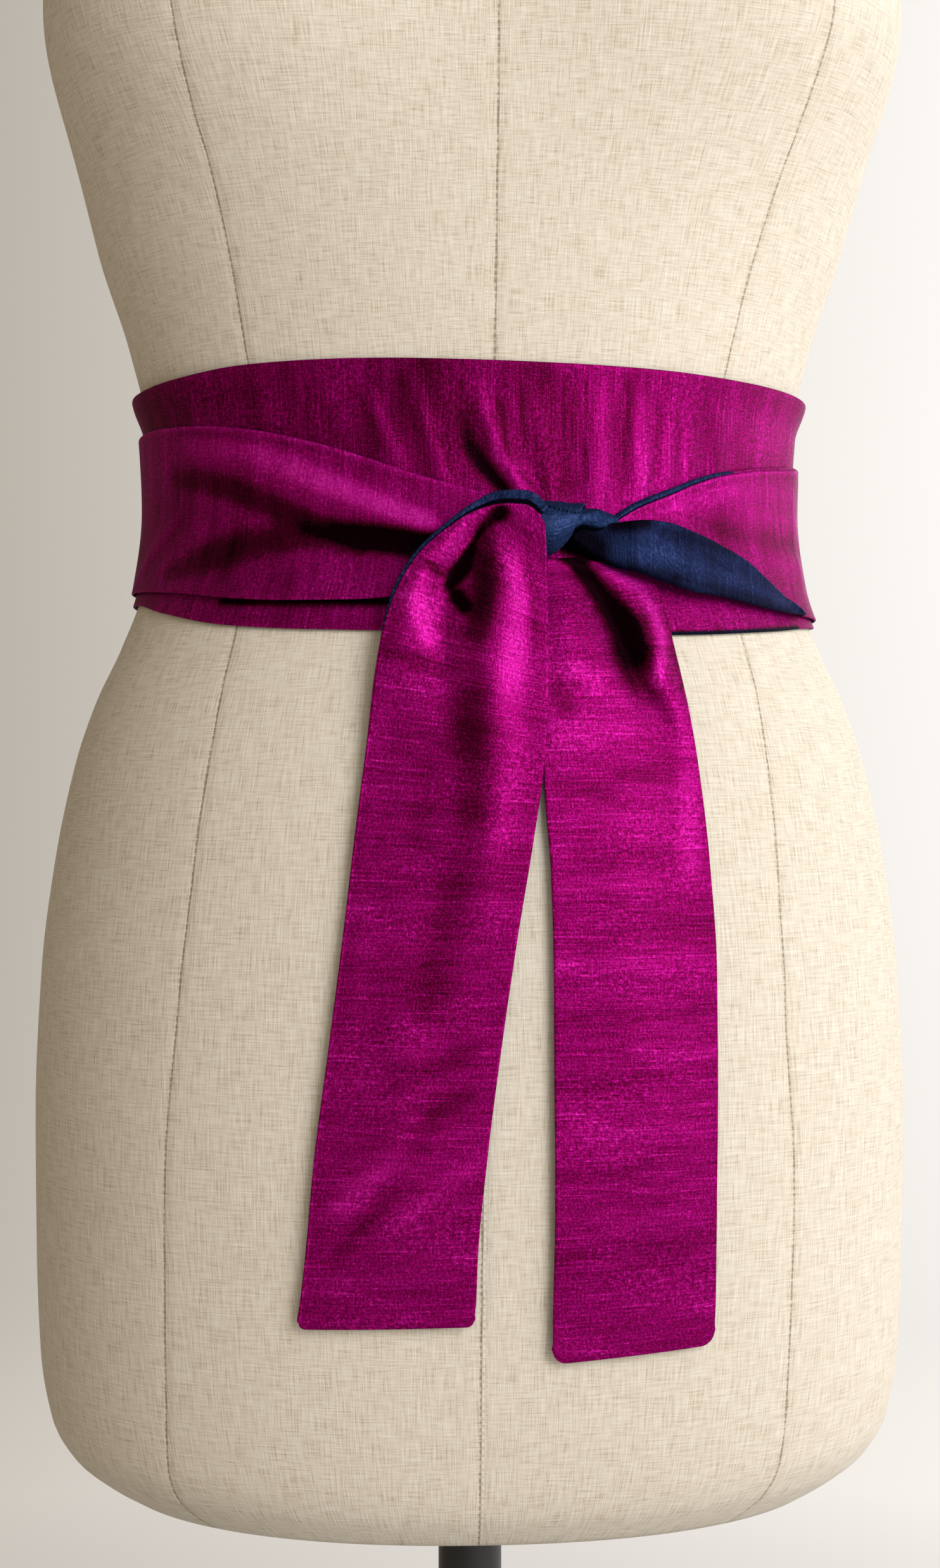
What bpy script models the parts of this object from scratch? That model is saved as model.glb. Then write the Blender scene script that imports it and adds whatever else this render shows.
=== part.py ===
"""Obi sash of reversible silk, wound and tied on a limbless dress form with a pole and a round base.

Frame: +Z up, the front of the form faces -Y, the viewer's right is +X. The origin is on the floor,
under the pole. Angles are measured round the form from its centre front, positive towards +X.
"""
import math

import bmesh
import bpy
import numpy as np

MM = 0.001
FULL_TURN = 360.0

# Cloth: the wall that stands for the two layers of silk, and the air left between neighbours
CLOTH_WALL = 1.6 * MM
BAND_CLEARANCE = 0.8 * MM
SEAM_GAP = 0.3 * MM

# Stand: pole of one inch, round plate on the floor
POLE_RADIUS = 12.7 * MM
BASE_RADIUS = 200.0 * MM
BASE_THICKNESS = 12.0 * MM
HUB_RADIUS = 26.0 * MM
HUB_HEIGHT = 70.0 * MM
ROUND_SIDES = 32

# Dress form: half width, front depth and back depth at each height, all in mm. The last column is
# the power of the section's curve, 2 for an ellipse and more for a squarer one.
FORM = [
    dict(at=678, half=140, front=101, back=105, square=2.20),
    dict(at=684, half=150, front=107.5, back=111, square=2.20),
    dict(at=692, half=159, front=113.5, back=118, square=2.25),
    dict(at=705, half=166, front=118, back=125, square=2.30),
    dict(at=730, half=170.3, front=122.5, back=130, square=2.30),
    dict(at=770, half=171.8, front=126.5, back=134.5, square=2.30),
    dict(at=825, half=172.2, front=129.5, back=135.5, square=2.30),
    dict(at=880, half=170, front=129, back=130, square=2.25),
    dict(at=920, half=165.2, front=126.5, back=121, square=2.20),
    dict(at=960, half=157, front=120.5, back=109, square=2.20),
    dict(at=984, half=149.0, front=115, back=101, square=2.20),
    dict(at=1006, half=138.8, front=108.5, back=95, square=2.20),
    dict(at=1030, half=130.4, front=100.5, back=90.5, square=2.20),
    dict(at=1060, half=127, front=94, back=88, square=2.20),
    dict(at=1090, half=128.5, front=94, back=89, square=2.20),
    dict(at=1124, half=136, front=98.5, back=92, square=2.20),
    dict(at=1162, half=147.5, front=104, back=96.5, square=2.20),
    dict(at=1196, half=153, front=109, back=100, square=2.20),
    dict(at=1237, half=157, front=112, back=104, square=2.20),
    dict(at=1270, half=158, front=112, back=107, square=2.20),
    dict(at=1310, half=158, front=108, back=109, square=2.20),
    dict(at=1350, half=157, front=102, back=109, square=2.25),
    dict(at=1385, half=160, front=93, back=106, square=2.25),
    dict(at=1410, half=156, front=84, back=100, square=2.20),
    dict(at=1428, half=140, front=75, back=91, square=2.10),
    dict(at=1444, half=112, front=66, back=79, square=2.05),
    dict(at=1460, half=82, front=58, back=66, square=2.00),
    dict(at=1480, half=66, front=55, back=59, square=2.00),
    dict(at=1505, half=60, front=54.5, back=55, square=2.00),
    dict(at=1536, half=58, front=54, back=55, square=2.00),
    dict(at=1542, half=52, front=49, back=50, square=2.00),
]
FORM_SIDES = 36
WAIST_LOW = 984.0
WAIST_HIGH = 1124.0
WAIST_RING_STEP = 10.0
BUST_HEIGHT = 1245.0
BUST_ANGLE = 54.0
BUST_RISE = 26.0
BUST_TALL = 55.0
BUST_WIDE = 30.0

# Band: its top and bottom edge round the form, and how far its gathers rise where it is drawn
# together at the centre back. The +X end passes above the -X end there. Its top edge stands off the
# form at both sides.
BAND = [
    dict(at=-180, top=1054, bottom=1013, gather=2.2),
    dict(at=-174, top=1055.5, bottom=1013, gather=2.0),
    dict(at=-165, top=1070, bottom=1013.5, gather=1.2),
    dict(at=-150, top=1096, bottom=1016, gather=0.4),
    dict(at=-130, top=1102.5, bottom=1020, gather=0.0),
    dict(at=-100, top=1103, bottom=1022.5, gather=0.0),
    dict(at=-77, top=1103.1, bottom=1021.5, gather=0.0),
    dict(at=-64, top=1104, bottom=1016.6, gather=0.0),
    dict(at=-48, top=1105.8, bottom=1010.5, gather=0.0),
    dict(at=-33, top=1106, bottom=1008.1, gather=0.0),
    dict(at=0, top=1105, bottom=1006.4, gather=0.0),
    dict(at=24, top=1104.1, bottom=1005.8, gather=0.0),
    dict(at=38, top=1103.6, bottom=1006.7, gather=0.0),
    dict(at=56, top=1102.5, bottom=1009.5, gather=0.0),
    dict(at=70, top=1102.1, bottom=1012.5, gather=0.0),
    dict(at=100, top=1102, bottom=1016, gather=0.0),
    dict(at=130, top=1102, bottom=1018, gather=0.0),
    dict(at=150, top=1101.5, bottom=1022, gather=0.4),
    dict(at=165, top=1100.5, bottom=1042, gather=1.2),
    dict(at=174, top=1100, bottom=1056.8, gather=2.0),
    dict(at=180, top=1100, bottom=1058, gather=2.2),
]
BAND_COLUMNS = 10
BAND_FLARE = 2.4
BAND_FLARE_FROM = 1088.5
BAND_FLARE_TO = 1102.0
BAND_STATION_STEP = 8.0
BAND_PLEAT_STEP = 2.8
BAND_PLEAT_FROM = -42.0
BAND_PLEAT_TO = 56.0
GATHER_COUNT = 3

# Soft pleats in the band's front, which run from its top edge down to the knot: the angle at the
# top, the angle at the tie, how far each one rises and its half width in degrees
BAND_PLEATS = [
    dict(top=-38, foot=-27, rise=0.7, wide=2.6),
    dict(top=-29, foot=-16, rise=0.8, wide=2.6),
    dict(top=-17, foot=-6, rise=0.9, wide=2.4),
    dict(top=-3, foot=8.5, rise=1.6, wide=2.4),
    dict(top=11, foot=14.5, rise=0.8, wide=2.2),
    dict(top=24.5, foot=24, rise=1.3, wide=2.4),
    dict(top=33.5, foot=33, rise=1.3, wide=2.4),
    dict(top=40, foot=38.5, rise=0.8, wide=1.8),
    dict(top=44.5, foot=43.5, rise=0.8, wide=1.8),
    dict(top=50.5, foot=49.5, rise=0.6, wide=2.2),
]
PLEAT_TOP = 1098.0
PLEAT_FOOT = 1056.0
PLEAT_END = 1040.0

# Tie on the viewer's left: its edges, and how far the middle of its wall stands off the form at the
# top edge, on the crest of its long fold, in the hollow under it and at the lower edge
TIE_LEFT = [
    dict(at=-180, top=1100, bottom=1058, top_out=1.6, crest_at=0.4, crest_out=1.6,
         hollow_at=0.7, hollow_out=1.6, foot_out=1.6, gather=2.2),
    dict(at=-174, top=1100, bottom=1057.2, top_out=4.0, crest_at=0.4, crest_out=4.0,
         hollow_at=0.7, hollow_out=4.0, foot_out=4.0, gather=1.8),
    dict(at=-170, top=1098.5, bottom=1053.6, top_out=5.2, crest_at=0.4, crest_out=5.2,
         hollow_at=0.7, hollow_out=5.2, foot_out=5.2, gather=1.5),
    dict(at=-165, top=1096, bottom=1048, top_out=5.2, crest_at=0.4, crest_out=5.2,
         hollow_at=0.7, hollow_out=5.2, foot_out=5.2, gather=1.2),
    dict(at=-150, top=1090, bottom=1036, top_out=4.3, crest_at=0.4, crest_out=4.3,
         hollow_at=0.7, hollow_out=4.3, foot_out=4.3, gather=0.6),
    dict(at=-125, top=1088, bottom=1029.5, top_out=3.7, crest_at=0.35, crest_out=3.7,
         hollow_at=0.7, hollow_out=3.7, foot_out=3.7, gather=0.2),
    dict(at=-77, top=1087.4, bottom=1026.5, top_out=3.7, crest_at=0.25, crest_out=3.8,
         hollow_at=0.7, hollow_out=3.7, foot_out=3.7, gather=0.0),
    dict(at=-60, top=1085.5, bottom=1023.6, top_out=3.7, crest_at=0.27, crest_out=4.4,
         hollow_at=0.7, hollow_out=3.7, foot_out=4.0, gather=0.0),
    dict(at=-47, top=1081.8, bottom=1020.2, top_out=4.0, crest_at=0.31, crest_out=5.3,
         hollow_at=0.69, hollow_out=3.8, foot_out=5.0, gather=0.0),
    dict(at=-36, top=1076.5, bottom=1018.6, top_out=4.5, crest_at=0.35, crest_out=6.4,
         hollow_at=0.67, hollow_out=3.9, foot_out=6.0, gather=0.0),
    dict(at=-24, top=1069.5, bottom=1018.3, top_out=4.7, crest_at=0.41, crest_out=7.7,
         hollow_at=0.66, hollow_out=4.0, foot_out=6.8, gather=0.0),
    dict(at=-16, top=1064.4, bottom=1019.4, top_out=4.8, crest_at=0.45, crest_out=8.7,
         hollow_at=0.65, hollow_out=4.2, foot_out=7.2, gather=0.0),
    dict(at=-8, top=1060.3, bottom=1022.5, top_out=5.0, crest_at=0.48, crest_out=9.4,
         hollow_at=0.66, hollow_out=4.6, foot_out=7.5, gather=0.0),
    dict(at=0, top=1056.5, bottom=1028, top_out=5.6, crest_at=0.5, crest_out=9.6,
         hollow_at=0.7, hollow_out=5.6, foot_out=8.0, gather=0.0),
    dict(at=8.4, top=1052.6, bottom=1036, top_out=6.4, crest_at=0.5, crest_out=9.4,
         hollow_at=0.75, hollow_out=7.0, foot_out=8.2, gather=0.0),
]
TIE_LEFT_COLUMNS = 11
TIE_LEFT_STATIONS = 41

# Tie on the viewer's right: its top edge, the line where its lower part turns up, the length of
# the turned-up flap and how far round it is turned, and how far the wall stands off the form
TIE_RIGHT = [
    dict(at=18.6, top=1041.2, fold=1033, flap=7, turn=172, top_out=7.4, fold_out=9.6, gather=0.0),
    dict(at=21, top=1042.0, fold=1032.2, flap=9, turn=172, top_out=6.4, fold_out=10, gather=0.0),
    dict(at=24, top=1044.4, fold=1030.8, flap=12, turn=171, top_out=5.4, fold_out=10, gather=0.0),
    dict(at=28, top=1048.9, fold=1028.1, flap=17.3, turn=170, top_out=5.1, fold_out=9.6, gather=0.0),
    dict(at=31, top=1052.2, fold=1026.2, flap=19.4, turn=168, top_out=5.0, fold_out=9, gather=0.0),
    dict(at=34.5, top=1055.2, fold=1024.2, flap=20.6, turn=166, top_out=5.0, fold_out=8, gather=0.0),
    dict(at=39, top=1058.8, fold=1022.1, flap=19.8, turn=166, top_out=4.8, fold_out=6.8, gather=0.0),
    dict(at=44, top=1063.2, fold=1021.2, flap=17.2, turn=167, top_out=4.6, fold_out=5.4, gather=0.0),
    dict(at=49.4, top=1066.9, fold=1019.6, flap=14.2, turn=168, top_out=4.4, fold_out=4.6, gather=0.0),
    dict(at=56, top=1069.8, fold=1017.8, flap=7.6, turn=168, top_out=4.0, fold_out=4.0, gather=0.0),
    dict(at=60, top=1071.3, fold=1017.2, flap=3.2, turn=166, top_out=3.7, fold_out=3.8, gather=0.0),
    dict(at=64, top=1072.4, fold=1016.9, flap=1.6, turn=90, top_out=3.7, fold_out=3.7, gather=0.0),
    dict(at=68, top=1073.4, fold=1016.9, flap=1.5, turn=0, top_out=3.7, fold_out=3.7, gather=0.0),
    dict(at=77, top=1075.5, fold=1017, flap=1.5, turn=0, top_out=3.7, fold_out=3.7, gather=0.0),
    dict(at=100, top=1077, fold=1017.5, flap=1.5, turn=0, top_out=3.7, fold_out=3.7, gather=0.1),
    dict(at=130, top=1075.5, fold=1016.5, flap=1.5, turn=0, top_out=3.8, fold_out=3.8, gather=0.2),
    dict(at=150, top=1071, fold=1014.5, flap=1.5, turn=0, top_out=4.3, fold_out=4.3, gather=0.6),
    dict(at=165, top=1063, fold=1013, flap=1.5, turn=0, top_out=5.2, fold_out=5.2, gather=1.2),
    dict(at=170, top=1058, fold=1013, flap=1.5, turn=0, top_out=5.2, fold_out=5.2, gather=1.5),
    dict(at=174, top=1055.2, fold=1013, flap=1.5, turn=0, top_out=4.0, fold_out=4.0, gather=1.8),
    dict(at=180, top=1054, fold=1013, flap=1.5, turn=0, top_out=1.6, fold_out=1.6, gather=2.2),
]
TIE_RIGHT_PANEL_COLUMNS = 7
TIE_RIGHT_FOLD_COLUMNS = 4
TIE_RIGHT_FLAP_COLUMNS = 4
TIE_RIGHT_STATIONS = 44
FOLD_LENGTH = 4.7

# Left tail: both long edges from the knot down, as places across and up the front, and how far the
# wall stands off the form there
TAIL_LEFT = [
    dict(at=0.00, left_x=18.8, left_z=1047.2, right_x=20.5, right_z=1044.0, left_out=18.8, right_out=19.0),
    dict(at=0.03, left_x=13.5, left_z=1050.8, right_x=20.6, right_z=1040.5, left_out=17.6, right_out=18.9),
    dict(at=0.06, left_x=6.0, left_z=1051.2, right_x=20.7, right_z=1036.0, left_out=16.8, right_out=18.3),
    dict(at=0.09, left_x=-3.0, left_z=1049.0, right_x=20.8, right_z=1030.5, left_out=15.6, right_out=16.0),
    dict(at=0.13, left_x=-13.5, left_z=1042.6, right_x=20.9, right_z=1023.0, left_out=15.0, right_out=14.2),
    dict(at=0.17, left_x=-24.5, left_z=1032.5, right_x=20.9, right_z=1012.5, left_out=13.5, right_out=12.8),
    dict(at=0.22, left_x=-32.0, left_z=1019.5, right_x=20.8, right_z=1001.0, left_out=11.2, right_out=11.2),
    dict(at=0.27, left_x=-36.5, left_z=1005.5, right_x=20.6, right_z=990.0, left_out=9.2, right_out=10.0),
    dict(at=0.33, left_x=-39.5, left_z=988.0, right_x=20.2, right_z=977.0, left_out=7.5, right_out=8.6),
    dict(at=0.40, left_x=-42.0, left_z=966.0, right_x=18.8, right_z=958.0, left_out=5.5, right_out=6.6),
    dict(at=0.50, left_x=-46.0, left_z=935.0, right_x=14.8, right_z=931.5, left_out=4.4, right_out=4.6),
    dict(at=0.61, left_x=-50.5, left_z=897.0, right_x=9.0, right_z=897.5, left_out=4.0, right_out=4.0),
    dict(at=0.73, left_x=-55.5, left_z=858.0, right_x=3.0, right_z=857.0, left_out=4.0, right_out=4.0),
    dict(at=0.84, left_x=-60.2, left_z=822.0, right_x=-1.5, right_z=821.5, left_out=4.0, right_out=4.0),
    dict(at=0.94, left_x=-63.5, left_z=786.0, right_x=-4.6, right_z=787.5, left_out=4.0, right_out=4.0),
    dict(at=1.00, left_x=-66.3, left_z=762.4, right_x=-5.3, right_z=764.0, left_out=4.0, right_out=4.0),
]
TAIL_LEFT_FOLDS = [
    dict(start=0.05, end=0.36, start_at=0.05, end_at=0.10, rise=1.4, wide=0.10),
    dict(start=0.05, end=0.36, start_at=0.12, end_at=0.50, rise=-4.2, wide=0.13),
    dict(start=0.08, end=0.60, start_at=0.55, end_at=0.74, rise=2.6, wide=0.16),
    dict(start=0.55, end=0.95, start_at=0.25, end_at=0.60, rise=1.2, wide=0.20),
]
TAIL_LEFT_STATIONS = 30

# Right tail, in the same terms
TAIL_RIGHT = [
    dict(at=0.00, left_x=22.2, left_z=1032.2, right_x=33.0, right_z=1033.2, left_out=8.0, right_out=6.5),
    dict(at=0.03, left_x=21.9, left_z=1027.0, right_x=46.0, right_z=1030.6, left_out=8.0, right_out=5.8),
    dict(at=0.06, left_x=21.6, left_z=1021.0, right_x=60.0, right_z=1026.5, left_out=7.8, right_out=5.4),
    dict(at=0.11, left_x=21.2, left_z=1011.0, right_x=65.2, right_z=1014.0, left_out=7.4, right_out=5.6),
    dict(at=0.16, left_x=20.8, left_z=1000.0, right_x=67.5, right_z=1001.5, left_out=6.8, right_out=5.6),
    dict(at=0.21, left_x=20.2, left_z=987.0, right_x=70.2, right_z=987.5, left_out=6.0, right_out=5.4),
    dict(at=0.28, left_x=19.4, left_z=970.0, right_x=73.2, right_z=970.0, left_out=5.0, right_out=4.8),
    dict(at=0.36, left_x=20.0, left_z=949.0, right_x=76.2, right_z=948.5, left_out=4.0, right_out=4.2),
    dict(at=0.46, left_x=21.9, left_z=921.0, right_x=78.7, right_z=920.5, left_out=4.0, right_out=4.0),
    dict(at=0.57, left_x=22.6, left_z=890.0, right_x=80.4, right_z=889.5, left_out=4.0, right_out=4.0),
    dict(at=0.70, left_x=22.8, left_z=851.0, right_x=80.6, right_z=851.0, left_out=4.0, right_out=4.0),
    dict(at=0.88, left_x=23.1, left_z=800.0, right_x=80.2, right_z=800.5, left_out=4.0, right_out=4.0),
    dict(at=1.00, left_x=22.2, left_z=750.2, right_x=80.2, right_z=754.3, left_out=4.0, right_out=4.0),
]
TAIL_RIGHT_FOLDS = [
    dict(start=0.00, end=0.30, start_at=0.30, end_at=0.86, rise=-3.2, wide=0.12),
    dict(start=0.00, end=0.34, start_at=0.62, end_at=1.02, rise=3.4, wide=0.14),
    dict(start=0.02, end=0.22, start_at=0.12, end_at=0.30, rise=1.6, wide=0.16),
    dict(start=0.30, end=0.62, start_at=0.60, end_at=0.35, rise=1.0, wide=0.20),
    dict(start=0.60, end=0.98, start_at=0.55, end_at=0.75, rise=0.9, wide=0.22),
]
TAIL_RIGHT_STATIONS = 30
TAIL_PLACES = (0.0, 0.03, 0.09, 0.2, 0.32, 0.44, 0.56, 0.68, 0.8, 0.91, 0.97, 1.0)
TAIL_LEFT_CORNER = 2.5
TAIL_RIGHT_CORNER = 5.0

# Knot: the bunched cloth from left to right, as the centre and half size of each section
KNOT_CORE = [
    dict(at=17.2, up=1043.5, out=9.1, half_up=7.8, half_out=5.3),
    dict(at=20, up=1043.4, out=9.2, half_up=8.4, half_out=5.8),
    dict(at=24, up=1043.4, out=9.3, half_up=8.2, half_out=6.2),
    dict(at=28, up=1044.4, out=9.4, half_up=7.0, half_out=6.2),
    dict(at=31, up=1045.6, out=9.6, half_up=5.4, half_out=5.6),
    dict(at=35, up=1047.0, out=10.0, half_up=4.2, half_out=4.4),
    dict(at=40, up=1047.9, out=9.8, half_up=3.5, half_out=3.4),
    dict(at=45, up=1049.0, out=8.8, half_up=2.6, half_out=2.6),
    dict(at=48.5, up=1049.9, out=8.0, half_up=1.3, half_out=1.5),
]
KNOT_CORE_SIDES = 16
KNOT_CORE_STATIONS = 15
WRAP_TOP_LEFT = 18.4
WRAP_TOP_RIGHT = 36.0
WRAP_FOOT_LEFT = 20.8
WRAP_FOOT_RIGHT = 32.2
WRAP_GAP = 0.55
WRAP_START = -28.0
WRAP_END = 202.0
WRAP_ROWS = 19
WRAP_COLUMNS = 7


def smooth_step(x):
    """Rise from 0 to 1 with level ends, held at both sides."""
    x = np.clip(x, 0.0, 1.0)
    return x * x * (3.0 - 2.0 * x)


def eased(table, column, at):
    """Read one column of a table between its rows, on a smooth curve that never overshoots."""
    xs = np.array([row["at"] for row in table], float)
    ys = np.array([row[column] for row in table], float)
    return eased_points(xs, ys, at)


def eased_points(xs, ys, at):
    """Value at each place on the curve through the points, with slopes that keep its rises."""
    at = np.clip(np.asarray(at, float), xs[0], xs[-1])
    step = np.diff(xs)
    rise = np.diff(ys) / step
    slope = np.empty(len(xs))
    slope[0] = rise[0]
    slope[-1] = rise[-1]
    product = rise[:-1] * rise[1:]
    total = np.where(product > 0.0, rise[:-1] + rise[1:], 1.0)
    slope[1:-1] = np.where(product > 0.0, 2.0 * product / total, 0.0)
    i = np.clip(np.searchsorted(xs, at, side="right") - 1, 0, len(xs) - 2)
    t = (at - xs[i]) / step[i]
    keep = (1.0 + 2.0 * t) * (1.0 - t) ** 2 * ys[i] + t * (1.0 - t) ** 2 * step[i] * slope[i]
    gain = t * t * (3.0 - 2.0 * t) * ys[i + 1] + t * t * (t - 1.0) * step[i] * slope[i + 1]
    return keep + gain


def bell(x):
    """A soft bump of height 1 at 0, close to nothing beyond 2."""
    return np.exp(-x * x)


def form_radius(angle, height):
    """Distance in mm from the pole's axis to the form's surface, for degrees and mm."""
    half = eased(FORM, "half", height)
    front = eased(FORM, "front", height)
    back = eased(FORM, "back", height)
    power = eased(FORM, "square", height)
    turn = np.radians(angle)
    depth = np.where(np.cos(turn) > 0.0, front, back)
    across = (np.abs(np.sin(turn)) / half) ** power
    along = (np.abs(np.cos(turn)) / depth) ** power
    near = (np.asarray(angle, float) + 180.0) % FULL_TURN - 180.0
    bust = bell((near - BUST_ANGLE) / BUST_WIDE) + bell((near + BUST_ANGLE) / BUST_WIDE)
    bust = bust * bell((height - BUST_HEIGHT) / BUST_TALL)
    return (across + along) ** (-1.0 / power) + BUST_RISE * bust


def form_point(angle, height, out):
    """Point in metres on the form's surface, moved out from it, for degrees and mm."""
    angle, height, out = np.broadcast_arrays(angle, height, out)
    radius = form_radius(angle, height) + out
    turn = np.radians(angle)
    return MM * np.stack([radius * np.sin(turn), -radius * np.cos(turn), height], axis=-1)


def front_point(x, height, out):
    """Point in metres in front of the form at a place across it, moved out towards the viewer."""
    x, height, out = np.broadcast_arrays(x, height, out)
    half = eased(FORM, "half", height)
    front = eased(FORM, "front", height)
    power = eased(FORM, "square", height)
    depth = front * (1.0 - (np.abs(x) / half) ** power) ** (1.0 / power)
    return MM * np.stack([x, -(depth + out), height], axis=-1)


def plain_material(name, colour, roughness, metallic=0.0):
    """One Principled material of a plain colour."""
    material = bpy.data.materials.new(name)
    material.use_nodes = True
    shader = material.node_tree.nodes["Principled BSDF"]
    shader.inputs["Base Color"].default_value = (*colour, 1.0)
    shader.inputs["Roughness"].default_value = roughness
    shader.inputs["Metallic"].default_value = metallic
    return material


def add_solid(name, vertices, faces, material):
    """Make one closed, smooth-shaded object with its faces pointing out."""
    shape = bmesh.new()
    points = [shape.verts.new(vertex) for vertex in vertices]
    for face in faces:
        shape.faces.new([points[i] for i in face])
    bmesh.ops.recalc_face_normals(shape, faces=shape.faces)
    mesh = bpy.data.meshes.new(name)
    shape.to_mesh(mesh)
    shape.free()
    mesh.shade_smooth()
    mesh.set_sharp_from_angle(angle=math.radians(50.0))
    mesh.materials.append(material)
    solid = bpy.data.objects.new(name, mesh)
    bpy.context.scene.collection.objects.link(solid)
    return solid


def grid_faces(rows, columns, first, wraps):
    """Quads of a grid of points, closed round its columns if it wraps."""
    faces = []
    for i in range(rows - 1):
        for j in range(columns if wraps else columns - 1):
            k = (j + 1) % columns
            low = first + i * columns
            high = low + columns
            faces.append((low + j, low + k, high + k, high + j))
    return faces


def add_wall(name, middle, wall, material):
    """Thicken a grid of points to both sides and close it round its four edges."""
    rows, columns = middle.shape[:2]
    along = np.gradient(middle, axis=0)
    across = np.gradient(middle, axis=1)
    normal = np.cross(across, along)
    normal /= np.linalg.norm(normal, axis=2, keepdims=True)
    outer = middle + normal * wall / 2.0
    inner = middle - normal * wall / 2.0
    vertices = np.concatenate([outer.reshape(-1, 3), inner.reshape(-1, 3)])
    count = rows * columns
    faces = grid_faces(rows, columns, 0, False)
    faces += [tuple(reversed(face)) for face in grid_faces(rows, columns, count, False)]
    rim = [j for j in range(columns)]
    rim += [i * columns + columns - 1 for i in range(1, rows)]
    rim += [(rows - 1) * columns + j for j in range(columns - 2, -1, -1)]
    rim += [i * columns for i in range(rows - 2, 0, -1)]
    for here, after in zip(rim, rim[1:] + rim[:1]):
        faces.append((here, here + count, after + count, after))
    return add_solid(name, vertices, faces, material)


def add_loft(name, rings, material):
    """Join closed rings of points end to end and cap both ends."""
    rows, columns = rings.shape[:2]
    faces = grid_faces(rows, columns, 0, True)
    faces.append(tuple(range(columns)))
    faces.append(tuple((rows - 1) * columns + j for j in range(columns)))
    return add_solid(name, rings.reshape(-1, 3), faces, material)


def gathers(across, rise):
    """Even ripples over the width of a strip that is drawn together, none at its edges."""
    return rise * (0.5 - 0.5 * np.cos(2.0 * math.pi * GATHER_COUNT * across))


def band_stations():
    """Angles of the band's sections, close together where its pleats are."""
    start = -180.0
    end = 180.0
    edge = math.degrees(SEAM_GAP / (FORM[0]["back"] * MM))
    left = np.arange(start + edge, BAND_PLEAT_FROM, BAND_STATION_STEP)
    middle = np.arange(BAND_PLEAT_FROM, BAND_PLEAT_TO, BAND_PLEAT_STEP)
    right = np.arange(BAND_PLEAT_TO, end - edge - BAND_STATION_STEP / 2.0, BAND_STATION_STEP)
    return np.concatenate([left, middle, right, [end - edge]])


def band_pleats(angle, height):
    """Rise of the soft pleats of the band's front at each angle and height."""
    down = (PLEAT_TOP - height) / (PLEAT_TOP - PLEAT_FOOT)
    grow = smooth_step(0.25 + down) * smooth_step((height - PLEAT_END) / (PLEAT_FOOT - PLEAT_END))
    rise = np.zeros(np.broadcast(angle, height).shape)
    for pleat in BAND_PLEATS:
        centre = pleat["top"] + (pleat["foot"] - pleat["top"]) * np.clip(down, 0.0, 1.0)
        rise = rise + pleat["rise"] * bell((angle - centre) / pleat["wide"])
    return rise * grow


def make_band(material):
    """The wide front panel, wound right round to the centre back."""
    angle = band_stations()[:, None]
    across = np.linspace(0.0, 1.0, BAND_COLUMNS)[None, :]
    top = eased(BAND, "top", angle)
    bottom = eased(BAND, "bottom", angle)
    height = top + (bottom - top) * across
    out = (BAND_CLEARANCE + CLOTH_WALL / 2.0) / MM
    out = out + gathers(across, eased(BAND, "gather", angle)) + band_pleats(angle, height)
    rise = smooth_step((height - BAND_FLARE_FROM) / (BAND_FLARE_TO - BAND_FLARE_FROM))
    out = out + BAND_FLARE * rise * np.sin(np.radians(angle)) ** 4
    return add_wall("band", form_point(angle, height, out), CLOTH_WALL, material)


def tie_left_out(row_of, across):
    """Distance off the form over the left tie's width: edge, crest, hollow, edge."""
    places = np.array([0.0, row_of("crest_at"), row_of("hollow_at"), 1.0])
    outs = np.array([row_of("top_out"), row_of("crest_out"), row_of("hollow_out"), row_of("foot_out")])
    return eased_points(places, outs, across)


def make_tie_left(material):
    """The tie that comes round the viewer's left to the knot, with its long fold."""
    edge = math.degrees(SEAM_GAP / (FORM[0]["back"] * MM))
    first = TIE_LEFT[0]["at"] + edge
    last = TIE_LEFT[-1]["at"]
    share = np.linspace(0.0, 1.0, TIE_LEFT_STATIONS)
    across = np.linspace(0.0, 1.0, TIE_LEFT_COLUMNS)
    rows = []
    for angle in first + (last - first) * share:
        def row_of(column):
            return float(eased(TIE_LEFT, column, angle))
        height = row_of("top") + (row_of("bottom") - row_of("top")) * across
        out = tie_left_out(row_of, across) + gathers(across, row_of("gather"))
        rows.append(form_point(angle, height, out))
    return add_wall("tie_left", np.array(rows), CLOTH_WALL, material)


def turned_edge(turn, flap):
    """Way down from a panel's lower end: round the fold by some degrees, then up the flap."""
    step = FOLD_LENGTH / TIE_RIGHT_FOLD_COLUMNS
    heading = np.radians(-90.0 + turn * (np.arange(TIE_RIGHT_FOLD_COLUMNS) + 0.5)
                         / TIE_RIGHT_FOLD_COLUMNS)
    lengths = [step] * TIE_RIGHT_FOLD_COLUMNS + [flap / TIE_RIGHT_FLAP_COLUMNS] * TIE_RIGHT_FLAP_COLUMNS
    headings = np.concatenate([heading, np.radians([-90.0 + turn] * TIE_RIGHT_FLAP_COLUMNS)])
    up = np.cumsum(np.array(lengths) * np.sin(headings))
    out = np.cumsum(np.array(lengths) * np.cos(headings))
    return up, out


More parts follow.
